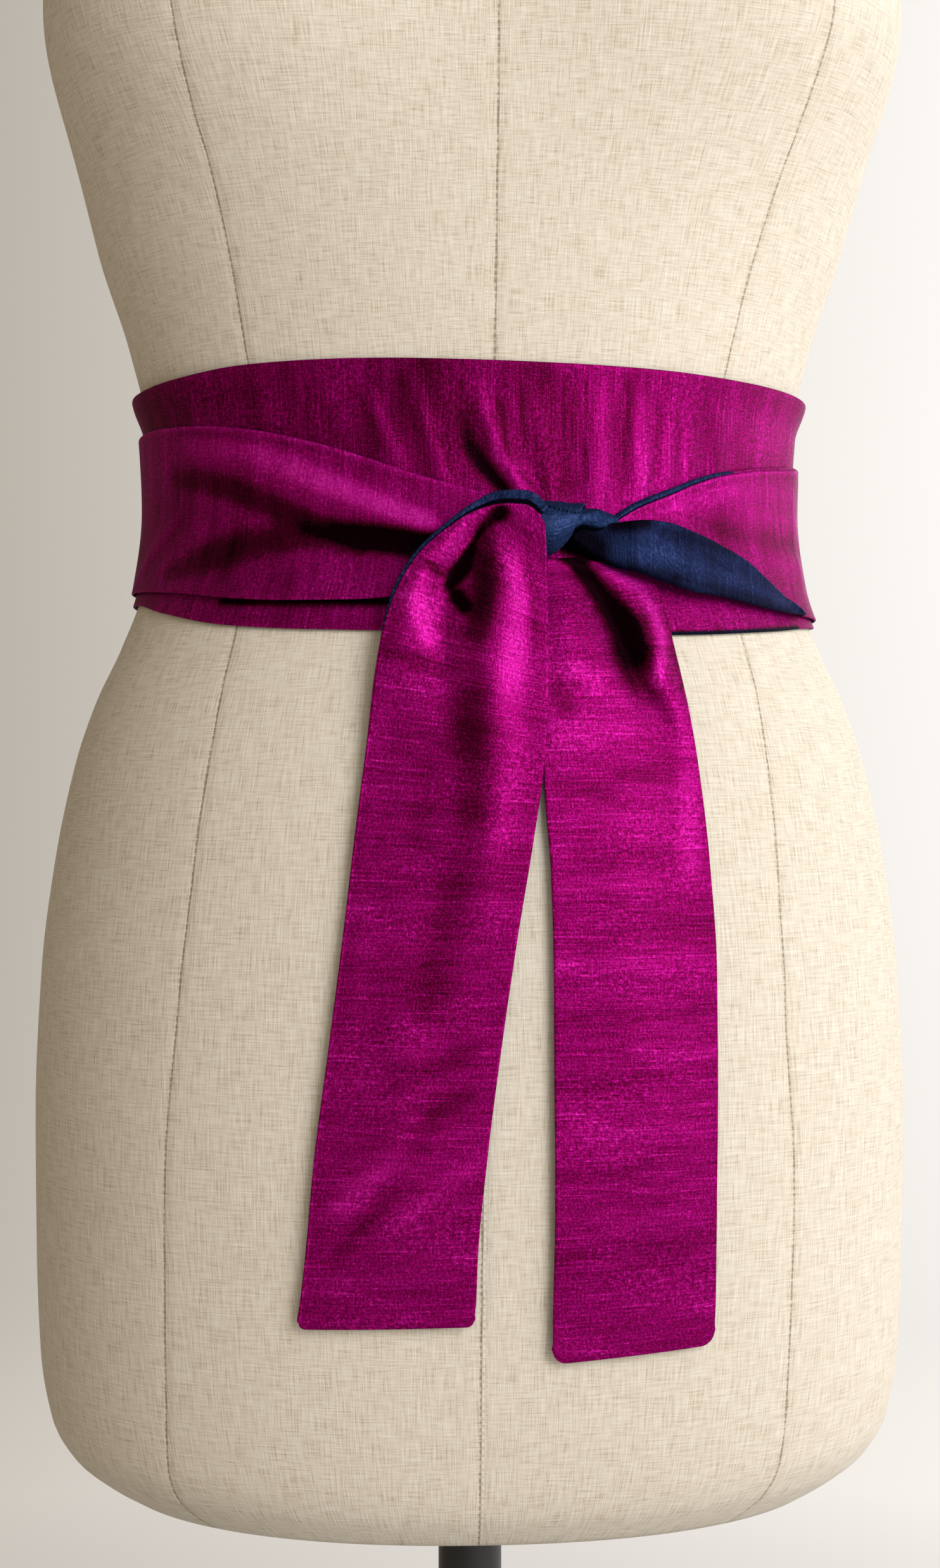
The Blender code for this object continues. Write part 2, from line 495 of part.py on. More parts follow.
def make_tie_right(material):
    """The tie that comes round the viewer's right, its lower part turned up near the knot."""
    edge = math.degrees(SEAM_GAP / (FORM[0]["back"] * MM))
    first = TIE_RIGHT[0]["at"]
    last = TIE_RIGHT[-1]["at"] - edge
    share = np.linspace(0.0, 1.0, TIE_RIGHT_STATIONS)
    across = np.linspace(0.0, 1.0, TIE_RIGHT_PANEL_COLUMNS)
    rows = []
    for angle in first + (last - first) * share:
        def row_of(column):
            return float(eased(TIE_RIGHT, column, angle))
        up, out = turned_edge(row_of("turn"), row_of("flap"))
        foot = row_of("fold") - min(up)
        panel_up = row_of("top") + (foot - row_of("top")) * across
        lean = row_of("fold_out") - row_of("top_out")
        panel_out = row_of("top_out") + lean * smooth_step(across) + gathers(across, row_of("gather"))
        height = np.concatenate([panel_up, foot + up])
        rows.append(form_point(angle, height, np.concatenate([panel_out, panel_out[-1] + out])))
    return add_wall("tie_right", np.array(rows), CLOTH_WALL, material)


def tail_folds(folds, along, across):
    """Rise of a tail's long folds at one place along it and each place across it."""
    rise = np.zeros(len(across))
    for fold in folds:
        share = (along - fold["start"]) / (fold["end"] - fold["start"])
        if 0.0 < share < 1.0:
            centre = fold["start_at"] + (fold["end_at"] - fold["start_at"]) * share
            rise += fold["rise"] * math.sin(math.pi * share) * bell((across - centre) / fold["wide"])
    return rise


def make_tail(name, table, folds, stations, corner, material):
    """A hanging end: straight sections from one long edge to the other, with rounded corners."""
    across = np.array(TAIL_PLACES)
    rows = []
    for along in np.linspace(0.0, 1.0, stations):
        place = {key: float(eased(table, key, along)) for key in table[0]}
        x = place["left_x"] + (place["right_x"] - place["left_x"]) * across
        height = place["left_z"] + (place["right_z"] - place["left_z"]) * across
        out = place["left_out"] + (place["right_out"] - place["left_out"]) * across
        rows.append([x, height, out + tail_folds(folds, along, across)])
    x, height, out = np.array(rows).transpose(1, 0, 2)
    to_side = np.minimum(x[-1] - x[-1, 0], x[-1, -1] - x[-1])
    missing = np.clip(1.0 - to_side / corner, 0.0, 1.0)
    height[-1] += corner * (1.0 - np.sqrt(1.0 - missing ** 2))
    return add_wall(name, front_point(x, height, out), CLOTH_WALL, material)


def knot_point(x, turn, extra):
    """Point on the bunched cloth's surface: degrees run from its top over its front."""
    up = eased(KNOT_CORE, "up", x)
    out = eased(KNOT_CORE, "out", x)
    half_up = eased(KNOT_CORE, "half_up", x) + extra
    half_out = eased(KNOT_CORE, "half_out", x) + extra
    angle = np.radians(turn)
    x, turn = np.broadcast_arrays(x, turn)
    base = front_point(x, up, out)
    base[..., 1] -= MM * half_out * np.sin(angle)
    base[..., 2] += MM * half_up * np.cos(angle)
    return base


def make_knot_core(material):
    """The bunched cloth inside the knot, which tapers out to the right tie's top edge."""
    x = np.linspace(KNOT_CORE[0]["at"], KNOT_CORE[-1]["at"], KNOT_CORE_STATIONS)[:, None]
    turn = np.arange(KNOT_CORE_SIDES)[None, :] * FULL_TURN / KNOT_CORE_SIDES
    return add_loft("knot_core", knot_point(x, turn, 0.0), material)


def make_knot_wrap(material):
    """The single turn of cloth over the knot, from behind its top to behind its foot."""
    share = np.linspace(0.0, 1.0, WRAP_ROWS)[:, None]
    across = np.linspace(0.0, 1.0, WRAP_COLUMNS)[None, :]
    turn = WRAP_START + (WRAP_END - WRAP_START) * share
    left = WRAP_TOP_LEFT + (WRAP_FOOT_LEFT - WRAP_TOP_LEFT) * share
    right = WRAP_TOP_RIGHT + (WRAP_FOOT_RIGHT - WRAP_TOP_RIGHT) * share
    x = left + (right - left) * across
    extra = WRAP_GAP + CLOTH_WALL / 2.0 / MM
    return add_wall("knot_wrap", knot_point(x, turn, extra), CLOTH_WALL, material)


def form_heights():
    """Heights of the form's rings, close together at the waist that the sash hugs."""
    heights = [row["at"] for row in FORM if not WAIST_LOW < row["at"] < WAIST_HIGH]
    heights += list(np.arange(WAIST_LOW + WAIST_RING_STEP, WAIST_HIGH, WAIST_RING_STEP))
    return np.array(sorted(heights), float)


def make_form_torso(material):
    """The dress form from hip to neck, smooth and whole."""
    angle = np.arange(FORM_SIDES)[None, :] * FULL_TURN / FORM_SIDES
    height = form_heights()[:, None]
    return add_loft("form_torso", form_point(angle, height, 0.0), material)


def turned_rings(profile):
    """Rings of a round piece from its half width and height at each step."""
    turn = np.arange(ROUND_SIDES) * 2.0 * math.pi / ROUND_SIDES
    rings = [np.stack([radius * np.cos(turn), radius * np.sin(turn), np.full(ROUND_SIDES, height)],
                      axis=-1) for radius, height in profile]
    return np.array(rings)


def make_form_pole(material):
    """The black pole between the base's hub and the underside of the form."""
    low = HUB_HEIGHT + SEAM_GAP
    high = FORM[0]["at"] * MM - SEAM_GAP
    return add_loft("form_pole", turned_rings([(POLE_RADIUS, low), (POLE_RADIUS, high)]), material)


def make_form_base(material):
    """The round plate on the floor, with the hub that carries the pole."""
    edge = 3.0 * MM
    profile = [
        (BASE_RADIUS - edge, 0.0),
        (BASE_RADIUS, edge),
        (BASE_RADIUS, BASE_THICKNESS - edge),
        (BASE_RADIUS - edge, BASE_THICKNESS),
        (HUB_RADIUS + 2.0 * edge, BASE_THICKNESS + edge),
        (HUB_RADIUS, BASE_THICKNESS + 3.0 * edge),
        (HUB_RADIUS - edge, HUB_HEIGHT - edge),
        (HUB_RADIUS - 2.0 * edge, HUB_HEIGHT),
    ]
    return add_loft("form_base", turned_rings(profile), material)


def main():
    """Clear the scene and build every piece."""
    for old in list(bpy.data.objects):
        bpy.data.objects.remove(old, do_unlink=True)
    make_band(plain_material("band silk", (0.27, 0.004, 0.13), 0.38))
    make_tie_left(plain_material("left tie silk", (0.27, 0.004, 0.13), 0.38))
    make_tie_right(plain_material("right tie silk", (0.27, 0.004, 0.13), 0.38))
    make_knot_core(plain_material("knot core silk", (0.012, 0.026, 0.075), 0.42))
    make_knot_wrap(plain_material("knot wrap silk", (0.012, 0.026, 0.075), 0.42))
    make_tail("tail_left", TAIL_LEFT, TAIL_LEFT_FOLDS, TAIL_LEFT_STATIONS, TAIL_LEFT_CORNER,
              plain_material("left tail silk", (0.27, 0.004, 0.13), 0.38))
    make_tail("tail_right", TAIL_RIGHT, TAIL_RIGHT_FOLDS, TAIL_RIGHT_STATIONS, TAIL_RIGHT_CORNER,
              plain_material("right tail silk", (0.27, 0.004, 0.13), 0.38))
    make_form_torso(plain_material("form linen", (0.60, 0.53, 0.42), 0.85))
    make_form_pole(plain_material("pole paint", (0.01, 0.01, 0.01), 0.35))
    make_form_base(plain_material("base paint", (0.01, 0.01, 0.01), 0.4))


main()
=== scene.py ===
"""Reversible silk obi sash, plum on its face and navy on its reverse, tied on a linen dress form."""
import math

import bpy
import numpy as np
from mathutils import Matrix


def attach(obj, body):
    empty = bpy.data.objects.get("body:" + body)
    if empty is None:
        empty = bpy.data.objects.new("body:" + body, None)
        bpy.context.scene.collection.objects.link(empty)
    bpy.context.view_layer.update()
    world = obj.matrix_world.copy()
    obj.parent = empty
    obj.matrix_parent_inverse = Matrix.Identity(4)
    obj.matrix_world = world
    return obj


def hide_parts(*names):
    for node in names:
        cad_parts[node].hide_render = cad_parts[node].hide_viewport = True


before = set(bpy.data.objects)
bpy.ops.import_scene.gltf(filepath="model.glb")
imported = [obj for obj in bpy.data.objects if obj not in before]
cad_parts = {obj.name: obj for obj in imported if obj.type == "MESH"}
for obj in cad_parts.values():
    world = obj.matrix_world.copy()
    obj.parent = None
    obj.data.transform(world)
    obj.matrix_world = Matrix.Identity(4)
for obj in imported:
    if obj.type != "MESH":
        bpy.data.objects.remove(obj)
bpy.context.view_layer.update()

# Studio. A pale floor runs up into a pale wall all round, so every view has the same plain ground.
# A large soft light stands at the viewer's right, like a window, with weaker ones at the left and
# behind. The camera stands close before the waist, turned three degrees.
CAMERA_LENS = 52.27
CAMERA_PLACE = (-0.0481, -0.9187, 0.952)
CAMERA_TURN = -3.0
camera_data = bpy.data.cameras.new("camera")
camera_data.lens = CAMERA_LENS
camera = bpy.data.objects.new("camera", camera_data)
camera.location = CAMERA_PLACE
camera.rotation_euler = (math.radians(90.0), 0.0, math.radians(CAMERA_TURN))
bpy.context.scene.collection.objects.link(camera)
bpy.context.scene.camera = camera
bpy.context.scene.view_settings.view_transform = "Standard"


def soft_light(name, place, aim, size, power, colour):
    """Square area light at place, turned so that its front looks at aim."""
    data = bpy.data.lights.new(name, "AREA")
    data.shape = "SQUARE"
    data.size = size
    data.energy = power
    data.color = colour
    light = bpy.data.objects.new(name, data)
    x, y, z = (a - p for a, p in zip(aim, place))
    light.location = place
    light.rotation_euler = (math.atan2(math.hypot(x, y), -z), 0.0, math.atan2(-x, y))
    bpy.context.scene.collection.objects.link(light)


soft_light("window", (1.2, -1.95, 1.75), (0.0, 0.0, 1.0), 1.2, 34.0, (0.97, 0.985, 1.0))
soft_light("window_side", (2.2, 0.5, 1.35), (0.0, 0.0, 1.0), 1.2, 10.0, (0.98, 0.99, 1.0))
soft_light("room_left", (-2.2, -1.4, 1.0), (0.0, 0.0, 0.95), 1.6, 2.2, (1.0, 0.76, 0.50))
soft_light("room_back", (0.6, 2.4, 1.9), (0.0, 0.0, 1.0), 1.6, 26.0, (1.0, 0.99, 0.97))


def add_node(tree, kind, ports=None, **settings):
    """New shader node: its settings, then each input joined to a socket or set to a value."""
    node = tree.nodes.new("ShaderNode" + kind)
    for key, value in settings.items():
        setattr(node, key, value)
    for key, value in (ports or {}).items():
        if isinstance(value, bpy.types.NodeSocket):
            tree.links.new(value, node.inputs[key])
        else:
            node.inputs[key].default_value = value
    return node


def new_material(name):
    """Empty node tree; returns the material and its tree."""
    material = bpy.data.materials.new(name)
    material.use_nodes = True
    material.node_tree.nodes.clear()
    return material, material.node_tree


def surface(tree, shader):
    """Join a shader's first output to the material's surface."""
    add_node(tree, "OutputMaterial", {"Surface": shader.outputs[0]})


def make_object(name, points, faces, materials):
    """Smooth-shaded mesh object with its places in its mesh, standing at the origin."""
    mesh = bpy.data.meshes.new(name)
    mesh.from_pydata(points.tolist(), [], faces)
    mesh.shade_smooth()
    for material in materials:
        mesh.materials.append(material)
    made = bpy.data.objects.new(name, mesh)
    bpy.context.scene.collection.objects.link(made)
    return made


def ring_faces(rows, columns, closed):
    """Quads between neighbouring rows of a grid, joined round its columns if it is closed."""
    i = np.arange(rows - 1)[:, None]
    j = np.arange(columns if closed else columns - 1)[None, :]
    k = (j + 1) % columns
    quads = [i * columns + j, i * columns + k, (i + 1) * columns + k, (i + 1) * columns + j]
    return np.stack(np.broadcast_arrays(*quads), axis=-1).reshape(-1, 4)


def graded(tree, value, low, high, low_to=0.0, high_to=1.0):
    """The value carried from one range to another and held at both ends."""
    return add_node(tree, "MapRange", {"Value": value, "From Min": low, "From Max": high,
                                       "To Min": low_to, "To Max": high_to}).outputs[0]


GLOW_LEFT = (0.135, 0.104, 0.052, 1.0)
GLOW_RIGHT = (0.92, 0.90, 0.88, 1.0)
WALL_GREY = (0.26, 0.25, 0.24, 1.0)
ROOM_LIGHT = 0.16
# the floor's profile in metres: flat, a quarter circle, then straight up
FLAT = 3.2
BEND = 1.8
WALL_TOP = 6.5
bend = np.radians(np.linspace(0.0, 90.0, 13))
sweep_radius = np.concatenate([[0.05, 1.0, 2.0], FLAT + BEND * np.sin(bend), [FLAT + BEND]])
sweep_height = np.concatenate([[0.0, 0.0, 0.0], BEND - BEND * np.cos(bend), [WALL_TOP]])
turn = np.linspace(0.0, 2.0 * math.pi, 97)[:-1]
sweep_points = np.stack(np.broadcast_arrays(sweep_radius[:, None] * np.cos(turn),
                                            sweep_radius[:, None] * np.sin(turn),
                                            sweep_height[:, None]), axis=-1).reshape(-1, 3)
sweep_faces = ring_faces(len(sweep_radius), len(turn), True)
# the backdrop glows a little more at the right and far away, as a wall beside a window does
backdrop_paint, tree = new_material("backdrop paint")
place = add_node(tree, "TexCoord").outputs["Object"]
side = graded(tree, add_node(tree, "SeparateXYZ", {0: place}).outputs["X"], -2.0, 2.0)
tint = add_node(tree, "Mix", {0: side, 6: GLOW_LEFT, 7: GLOW_RIGHT}, data_type="RGBA")
distance = add_node(tree, "VectorMath", {0: place}, operation="LENGTH").outputs["Value"]
far = graded(tree, distance, 0.6, 2.2, 0.3, 1.0)
glow = add_node(tree, "Emission", {"Color": tint.outputs[2], "Strength": far})
wall = add_node(tree, "BsdfDiffuse", {"Color": WALL_GREY})
surface(tree, add_node(tree, "AddShader", {0: glow.outputs[0], 1: wall.outputs[0]}))
backdrop = make_object("backdrop", sweep_points, sweep_faces.tolist(), [backdrop_paint])

world = bpy.data.worlds.new("room")
world.use_nodes = True
daylight = world.node_tree.nodes["Background"]
daylight.inputs["Color"].default_value = (1.0, 1.0, 1.0, 1.0)
daylight.inputs["Strength"].default_value = ROOM_LIGHT
bpy.context.scene.world = world

# Dress form. A moulded body without limbs, padded and covered with beige linen that is sewn from
# eight panels: stitched seams run down the centre front and back, over the bust, at the sides and
# down the back. It stands on a painted steel pole in a round base plate.
MM = 0.001
FULL_TURN = 360.0


def named_rows(names, *rows):
    """Table of rows, each with its values under the columns' names."""
    return [dict(zip(names.split(), row)) for row in rows]


FORM = named_rows(
    "at half front back square",
    (678, 140, 101, 105, 2.2), (684, 150, 107.5, 111, 2.2), (692, 159, 113.5, 118, 2.25),
    (705, 166, 118, 125, 2.3), (730, 170.3, 122.5, 130, 2.3), (770, 171.8, 126.5, 134.5, 2.3),
    (825, 172.2, 129.5, 135.5, 2.3), (880, 170, 129, 130, 2.25), (920, 165.2, 126.5, 121, 2.2),
    (960, 157, 120.5, 109, 2.2), (984, 149, 115, 101, 2.2), (1006, 138.8, 108.5, 95, 2.2),
    (1030, 130.4, 100.5, 90.5, 2.2), (1060, 127, 94, 88, 2.2), (1090, 128.5, 94, 89, 2.2),
    (1124, 136, 98.5, 92, 2.2), (1162, 147.5, 104, 96.5, 2.2), (1196, 153, 109, 100, 2.2),
    (1237, 157, 112, 104, 2.2), (1270, 158, 112, 107, 2.2), (1310, 158, 108, 109, 2.2),
    (1350, 157, 102, 109, 2.25), (1385, 160, 93, 106, 2.25), (1410, 156, 84, 100, 2.2),
    (1428, 140, 75, 91, 2.1), (1444, 112, 66, 79, 2.05), (1460, 82, 58, 66, 2), (1480, 66, 55, 59, 2),
    (1505, 60, 54.5, 55, 2), (1536, 58, 54, 55, 2), (1542, 52, 49, 50, 2))
BUST_HEIGHT = 1245.0
BUST_ANGLE = 54.0
BUST_RISE = 26.0
BUST_TALL = 55.0
BUST_WIDE = 30.0


def eased(table, column, at):
    """Read one column of a table between its rows, on a smooth curve that never overshoots."""
    xs = np.array([row["at"] for row in table], float)
    ys = np.array([row[column] for row in table], float)
    return eased_points(xs, ys, at)


def eased_points(xs, ys, at):
    """Value at each place on the curve through the points, with slopes that keep its rises."""
    at = np.clip(np.asarray(at, float), xs[0], xs[-1])
    step = np.diff(xs)
    rise = np.diff(ys) / step
    slope = np.empty(len(xs))
    slope[0] = rise[0]
    slope[-1] = rise[-1]
    product = rise[:-1] * rise[1:]
    total = np.where(product > 0.0, rise[:-1] + rise[1:], 1.0)
    slope[1:-1] = np.where(product > 0.0, 2.0 * product / total, 0.0)
    i = np.clip(np.searchsorted(xs, at, side="right") - 1, 0, len(xs) - 2)
    t = (at - xs[i]) / step[i]
    keep = (1.0 + 2.0 * t) * (1.0 - t) ** 2 * ys[i] + t * (1.0 - t) ** 2 * step[i] * slope[i]
    gain = t * t * (3.0 - 2.0 * t) * ys[i + 1] + t * t * (t - 1.0) * step[i] * slope[i + 1]
    return keep + gain


def smooth_step(x):
    """Rise from 0 to 1 with level ends, held at both sides."""
    x = np.clip(x, 0.0, 1.0)
    return x * x * (3.0 - 2.0 * x)


def bell(x):
    """A soft bump of height 1 at 0, close to nothing beyond 2."""
    return np.exp(-x * x)


def form_radius(angle, height):
    """Distance in mm from the pole's axis to the form's surface, for degrees and mm."""
    half = eased(FORM, "half", height)
    front = eased(FORM, "front", height)
    back = eased(FORM, "back", height)
    power = eased(FORM, "square", height)
    turn = np.radians(angle)
    depth = np.where(np.cos(turn) > 0.0, front, back)
    across = (np.abs(np.sin(turn)) / half) ** power
    along = (np.abs(np.cos(turn)) / depth) ** power
    near = (np.asarray(angle, float) + 180.0) % FULL_TURN - 180.0
    bust = bell((near - BUST_ANGLE) / BUST_WIDE) + bell((near + BUST_ANGLE) / BUST_WIDE)
    bust = bust * bell((height - BUST_HEIGHT) / BUST_TALL)
    return (across + along) ** (-1.0 / power) + BUST_RISE * bust


def form_point(angle, height, out):
    """Point in metres on the form's surface, moved out from it, for degrees and mm."""
    angle, height, out = np.broadcast_arrays(angle, height, out)
    radius = form_radius(angle, height) + out
    turn = np.radians(angle)
    return MM * np.stack([radius * np.sin(turn), -radius * np.cos(turn), height], axis=-1)


# each seam's way down the form: degrees from the centre front at each height in mm
SEAMS = [
    [(682, -1.3), (762, -1.2), (850, -0.9), (960, 0), (1108, 2.35), (1229, 2.2), (1500, 1)],
    [(685, -52), (734, -49.2), (825, -47.3), (871, -46.1), (915, -45.4), (961, -45.2),
     (1002, -46), (1112, -48.4), (1189, -47.7), (1229, -46), (1385, -44), (1425, -43)],
    [(703, 48.3), (743, 47.2), (801, 46.6), (869, 45.5), (955, 47.1), (1000, 49.2),
     (1111, 51.9), (1176, 53), (1236, 51.2), (1385, 46), (1425, 44)],
    [(680, 93), (850, 91), (1060, 90), (1245, 95), (1385, 92), (1500, 90)],
    [(680, -93), (850, -91), (1060, -90), (1245, -95), (1385, -92), (1500, -90)],
    [(680, 132), (850, 134), (1060, 142), (1245, 141), (1425, 138)],
    [(680, -132), (850, -134), (1060, -142), (1245, -141), (1425, -138)],
    [(680, 180), (1500, 180)],
]
NECK_SEAM = 1464.0


def seam_distance(angle, height):
    """Metres over the surface to the nearest seam, from the turn and the radius at each point. It is
    above and below zero in turn between neighbouring seams, so it passes evenly through each."""
    nearest = np.full(np.broadcast(angle, height).shape, 1.0)
    sign = np.ones(nearest.shape)
    front_turn = (angle + 180.0) % FULL_TURN - 180.0
    for seam in SEAMS:
        heights, turns = (np.array(column, float) for column in zip(*seam))
        seam_turn = eased_points(heights, turns, height)
        away = (angle - seam_turn + 180.0) % FULL_TURN - 180.0
        outside = np.maximum(height - heights[-1], 0.0) * MM
        away = np.abs(np.radians(away)) * form_radius(angle, height) * MM
        nearest = np.minimum(nearest, np.hypot(away, outside))
        sign = np.where(front_turn > seam_turn, -sign, sign)
    return sign * np.minimum(nearest, np.abs(height - NECK_SEAM) * MM)


form_turn = np.arange(240)[None, :] * FULL_TURN / 240.0
form_rows = np.concatenate([np.linspace(678.0, 700.0, 12), np.arange(704.0, 1540.0, 4.0),
                            [1540.0, 1542.0]])
form_grid = form_point(form_turn, form_rows[:, None], 0.0)
# the underside and the top: rings that shrink towards the middle of each end
shrink = np.array([0.97, 0.85, 0.6, 0.3, 0.02])[:, None, None]
end_scale = np.array([1.0, 1.0, 0.0])
low_cap = form_grid[0] * (1.0 + (shrink - 1.0) * end_scale)
high_cap = form_grid[-1] * (1.0 + (shrink - 1.0) * end_scale)
form_points = np.concatenate([low_cap[::-1], form_grid, high_cap])
form_shape = form_points.shape
ends = low_cap.shape[0]
form_faces = ring_faces(form_shape[0], form_shape[1], True)
form_index = np.arange(form_shape[0] * form_shape[1]).reshape(form_shape[:2])
form_ends = [form_index[0].tolist(), form_index[-1][::-1].tolist()]


def stretched_noise(tree, source, scale, detail=2.0, turn=0.0, shift=0.0):
    """Noise over a map in metres, drawn out by its own scale across and along; gives 0 to 1."""
    spread = add_node(tree, "Mapping", {"Vector": source, "Scale": (*scale, 1.0),
                                        "Rotation": (0.0, 0.0, math.radians(turn)),
                                        "Location": (shift, shift, 0.0)})
    return add_node(tree, "TexNoise", {"Vector": spread.outputs[0], "Scale": 1.0, "Detail": detail,
                                       "Roughness": 0.5}, noise_dimensions="2D").outputs[0]


def maths(tree, operation, first, second):
    """Result of one sum, such as ADD or MULTIPLY, on two values."""
    return add_node(tree, "Math", {0: first, 1: second}, operation=operation).outputs[0]


def total(tree, parts):
    """Sum of values, each times its own weight."""
    result = None
    for value, weight in parts:
        scaled = maths(tree, "MULTIPLY", value, weight)
        result = scaled if result is None else maths(tree, "ADD", result, scaled)
    return result


def ramp(tree, value, stops):
    """Colour read from a run of (place, colour) stops."""
    node = add_node(tree, "ValToRGB", {"Fac": value})
    elements = node.color_ramp.elements
    for element, (position, colour) in zip(elements, (stops[0], stops[-1])):
        element.position = position
        element.color = (*colour, 1.0)
    for position, colour in stops[1:-1]:
        elements.new(position).color = (*colour, 1.0)
    return node.outputs[0]


# how often the linen's threads repeat in a metre, across and along
YARN = (1900.0, 76.0)
YARN_MIXED = (1630.0, 110.0)
THICK_YARN = (1000.0, 40.0)
NAP = (7.0, 7.0)
LINEN_TONES = [(0.12, (0.30, 0.25, 0.18)), (0.34, (0.55, 0.470, 0.360)),
               (0.50, (0.68, 0.60, 0.485)), (0.80, (0.80, 0.74, 0.635))]
# one seam stitch and its gap in metres, and the height below which the pale stitches show
STITCH = 0.0027
PALE_BELOW = 1.0
linen, tree = new_material("beige linen")
cloth = add_node(tree, "UVMap", uv_map="cloth").outputs[0]
# each way of the weave has even threads from two patterns, and a few thick ones
threads = []
for way in (1, -1):
    even = total(tree, [(stretched_noise(tree, cloth, YARN[::way]), 0.5),
                        (stretched_noise(tree, cloth, YARN_MIXED[::way], shift=4.6), 0.5)])
    thick = graded(tree, stretched_noise(tree, cloth, THICK_YARN[::way]), 0.62, 0.76)
    threads.append((even, thick))
(upright, thick_upright), (level, thick_level) = threads
nap = stretched_noise(tree, cloth, NAP)
seam = add_node(tree, "Attribute", attribute_name="seam").outputs["Fac"]
seam_off = maths(tree, "ABSOLUTE", seam, 0.0)
spot = add_node(tree, "SeparateXYZ", {0: add_node(tree, "TexCoord").outputs["Object"]}).outputs
stitch = maths(tree, "SUBTRACT", maths(tree, "MODULO", spot["Z"], STITCH), STITCH / 2.0)
stitch = graded(tree, stitch, -0.0003, 0.0001)
line = graded(tree, seam_off, 0.00015, 0.0006, 1.0, 0.0)
# the seam's groove: a dip in the bump, and painted shade darkening the linen beside the seam
seam_groove_and_shade = graded(tree, seam_off, 0.0, 0.0035, 1.0, 0.0)
hole = maths(tree, "MULTIPLY", line, stitch)
# pale stitches stand beside the centre front seam below the waist
pale = stitch
for limit in (graded(tree, seam, 0.0004, 0.0007), graded(tree, seam, 0.0013, 0.0016, 1.0, 0.0),
              graded(tree, spot["Z"], PALE_BELOW, PALE_BELOW + 0.01, 1.0, 0.0),
              graded(tree, spot["Y"], -0.08, -0.07, 1.0, 0.0),
              graded(tree, spot["X"], -0.03, -0.02), graded(tree, spot["X"], 0.02, 0.03, 1.0, 0.0)):
    pale = maths(tree, "MULTIPLY", pale, limit)
tone = total(tree, [(upright, 1.0), (level, 0.8), (thick_upright, 0.05), (thick_level, 0.05), (nap, 0.07),
                    (line, -0.20), (hole, -0.18), (seam_groove_and_shade, -0.06), (pale, 0.30)])
linen_colour = ramp(tree, maths(tree, "SUBTRACT", tone, 0.38), LINEN_TONES)
relief = total(tree, [(upright, 0.7), (level, 0.7), (seam_groove_and_shade, -1.6), (line, -0.8)])
bump = add_node(tree, "Bump", {"Height": relief, "Strength": 0.45, "Distance": 0.0004})
surface(tree, add_node(tree, "BsdfPrincipled", {
    "Base Color": linen_colour, "Roughness": 0.85, "Specular IOR Level": 0.25,
    "Sheen Weight": 0.12, "Sheen Roughness": 0.5, "Normal": bump.outputs[0]}))
torso = make_object("torso_linen", form_points.reshape(-1, 3), form_faces.tolist() + form_ends, [linen])


def put_values(made, name, values):
    """Give each point of a mesh its own number."""
    values = np.ascontiguousarray(values, np.float32).ravel()
    made.data.attributes.new(name, "FLOAT", "POINT").data.foreach_set("value", values)


def put_map(made, across, along, closed_at=None):
    """Lay the map named cloth: each corner takes its point's place across and along, in metres."""
    mesh = made.data
    corner = np.empty(len(mesh.loops), np.int32)
    mesh.loops.foreach_get("vertex_index", corner)
    flat = np.stack([np.ravel(across)[corner], np.ravel(along)[corner]], axis=-1)
    if closed_at is not None:
        start = np.empty(len(mesh.polygons), np.int32)
        count = np.empty(len(mesh.polygons), np.int32)
        mesh.polygons.foreach_get("loop_start", start)
        mesh.polygons.foreach_get("loop_total", count)
        owner = np.repeat(np.arange(len(start)), count)
        widest = np.maximum.reduceat(flat[:, 0], start)[owner]
        flat[:, 0] += np.where(widest - flat[:, 0] > closed_at / 2.0, closed_at, 0.0)
    mesh.uv_layers.new(name="cloth").data.foreach_set("uv", flat.astype(np.float32).ravel())


all_rows = np.concatenate([np.full(ends, form_rows[0]), form_rows, np.full(ends, form_rows[-1])])
put_values(torso, "seam", seam_distance(form_turn, all_rows[:, None]))
# the linen's map is as wide as the hips are round, in metres
FORM_ROUND = 0.96
put_map(torso, np.broadcast_to(form_turn / FULL_TURN * FORM_ROUND, form_shape[:2]),
        np.broadcast_to(all_rows[:, None] * MM, form_shape[:2]), FORM_ROUND)
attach(torso, "root")
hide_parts("form_torso")

STAND_BLACKS = [(0.35, (0.006, 0.006, 0.007)), (0.7, (0.016, 0.016, 0.017))]
stand_paint, tree = new_material("black stand paint")
place = add_node(tree, "TexCoord").outputs["Object"]
grain = add_node(tree, "TexNoise", {"Vector": place, "Scale": 900.0, "Detail": 3.0}).outputs[0]
rubbed = add_node(tree, "TexNoise", {"Vector": place, "Scale": 14.0, "Detail": 5.0}).outputs[0]
bump = add_node(tree, "Bump", {"Height": grain, "Strength": 0.25, "Distance": 0.0002})
surface(tree, add_node(tree, "BsdfPrincipled", {
    "Base Color": ramp(tree, rubbed, STAND_BLACKS),
    "Roughness": graded(tree, rubbed, 0.3, 0.7, 0.32, 0.5), "Normal": bump.outputs[0]}))


def turned(name, profile, sides=96):
    """Round piece: its profile of radius and height is carried round the upright axis."""
    turn = np.arange(sides) * 2.0 * math.pi / sides
    radius, height = (np.array(column)[:, None] for column in zip(*profile))
    grid = np.stack(np.broadcast_arrays(radius * np.cos(turn), radius * np.sin(turn), height), axis=-1)
    index = np.arange(len(profile) * sides).reshape(-1, sides)
    faces = ring_faces(len(profile), sides, True).tolist()
    faces += [index[0][::-1].tolist(), index[-1].tolist()]
    made = make_object(name, grid.reshape(-1, 3), faces, [stand_paint])
    made.data.set_sharp_from_angle(angle=math.radians(40.0))
    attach(made, "root")
    return made


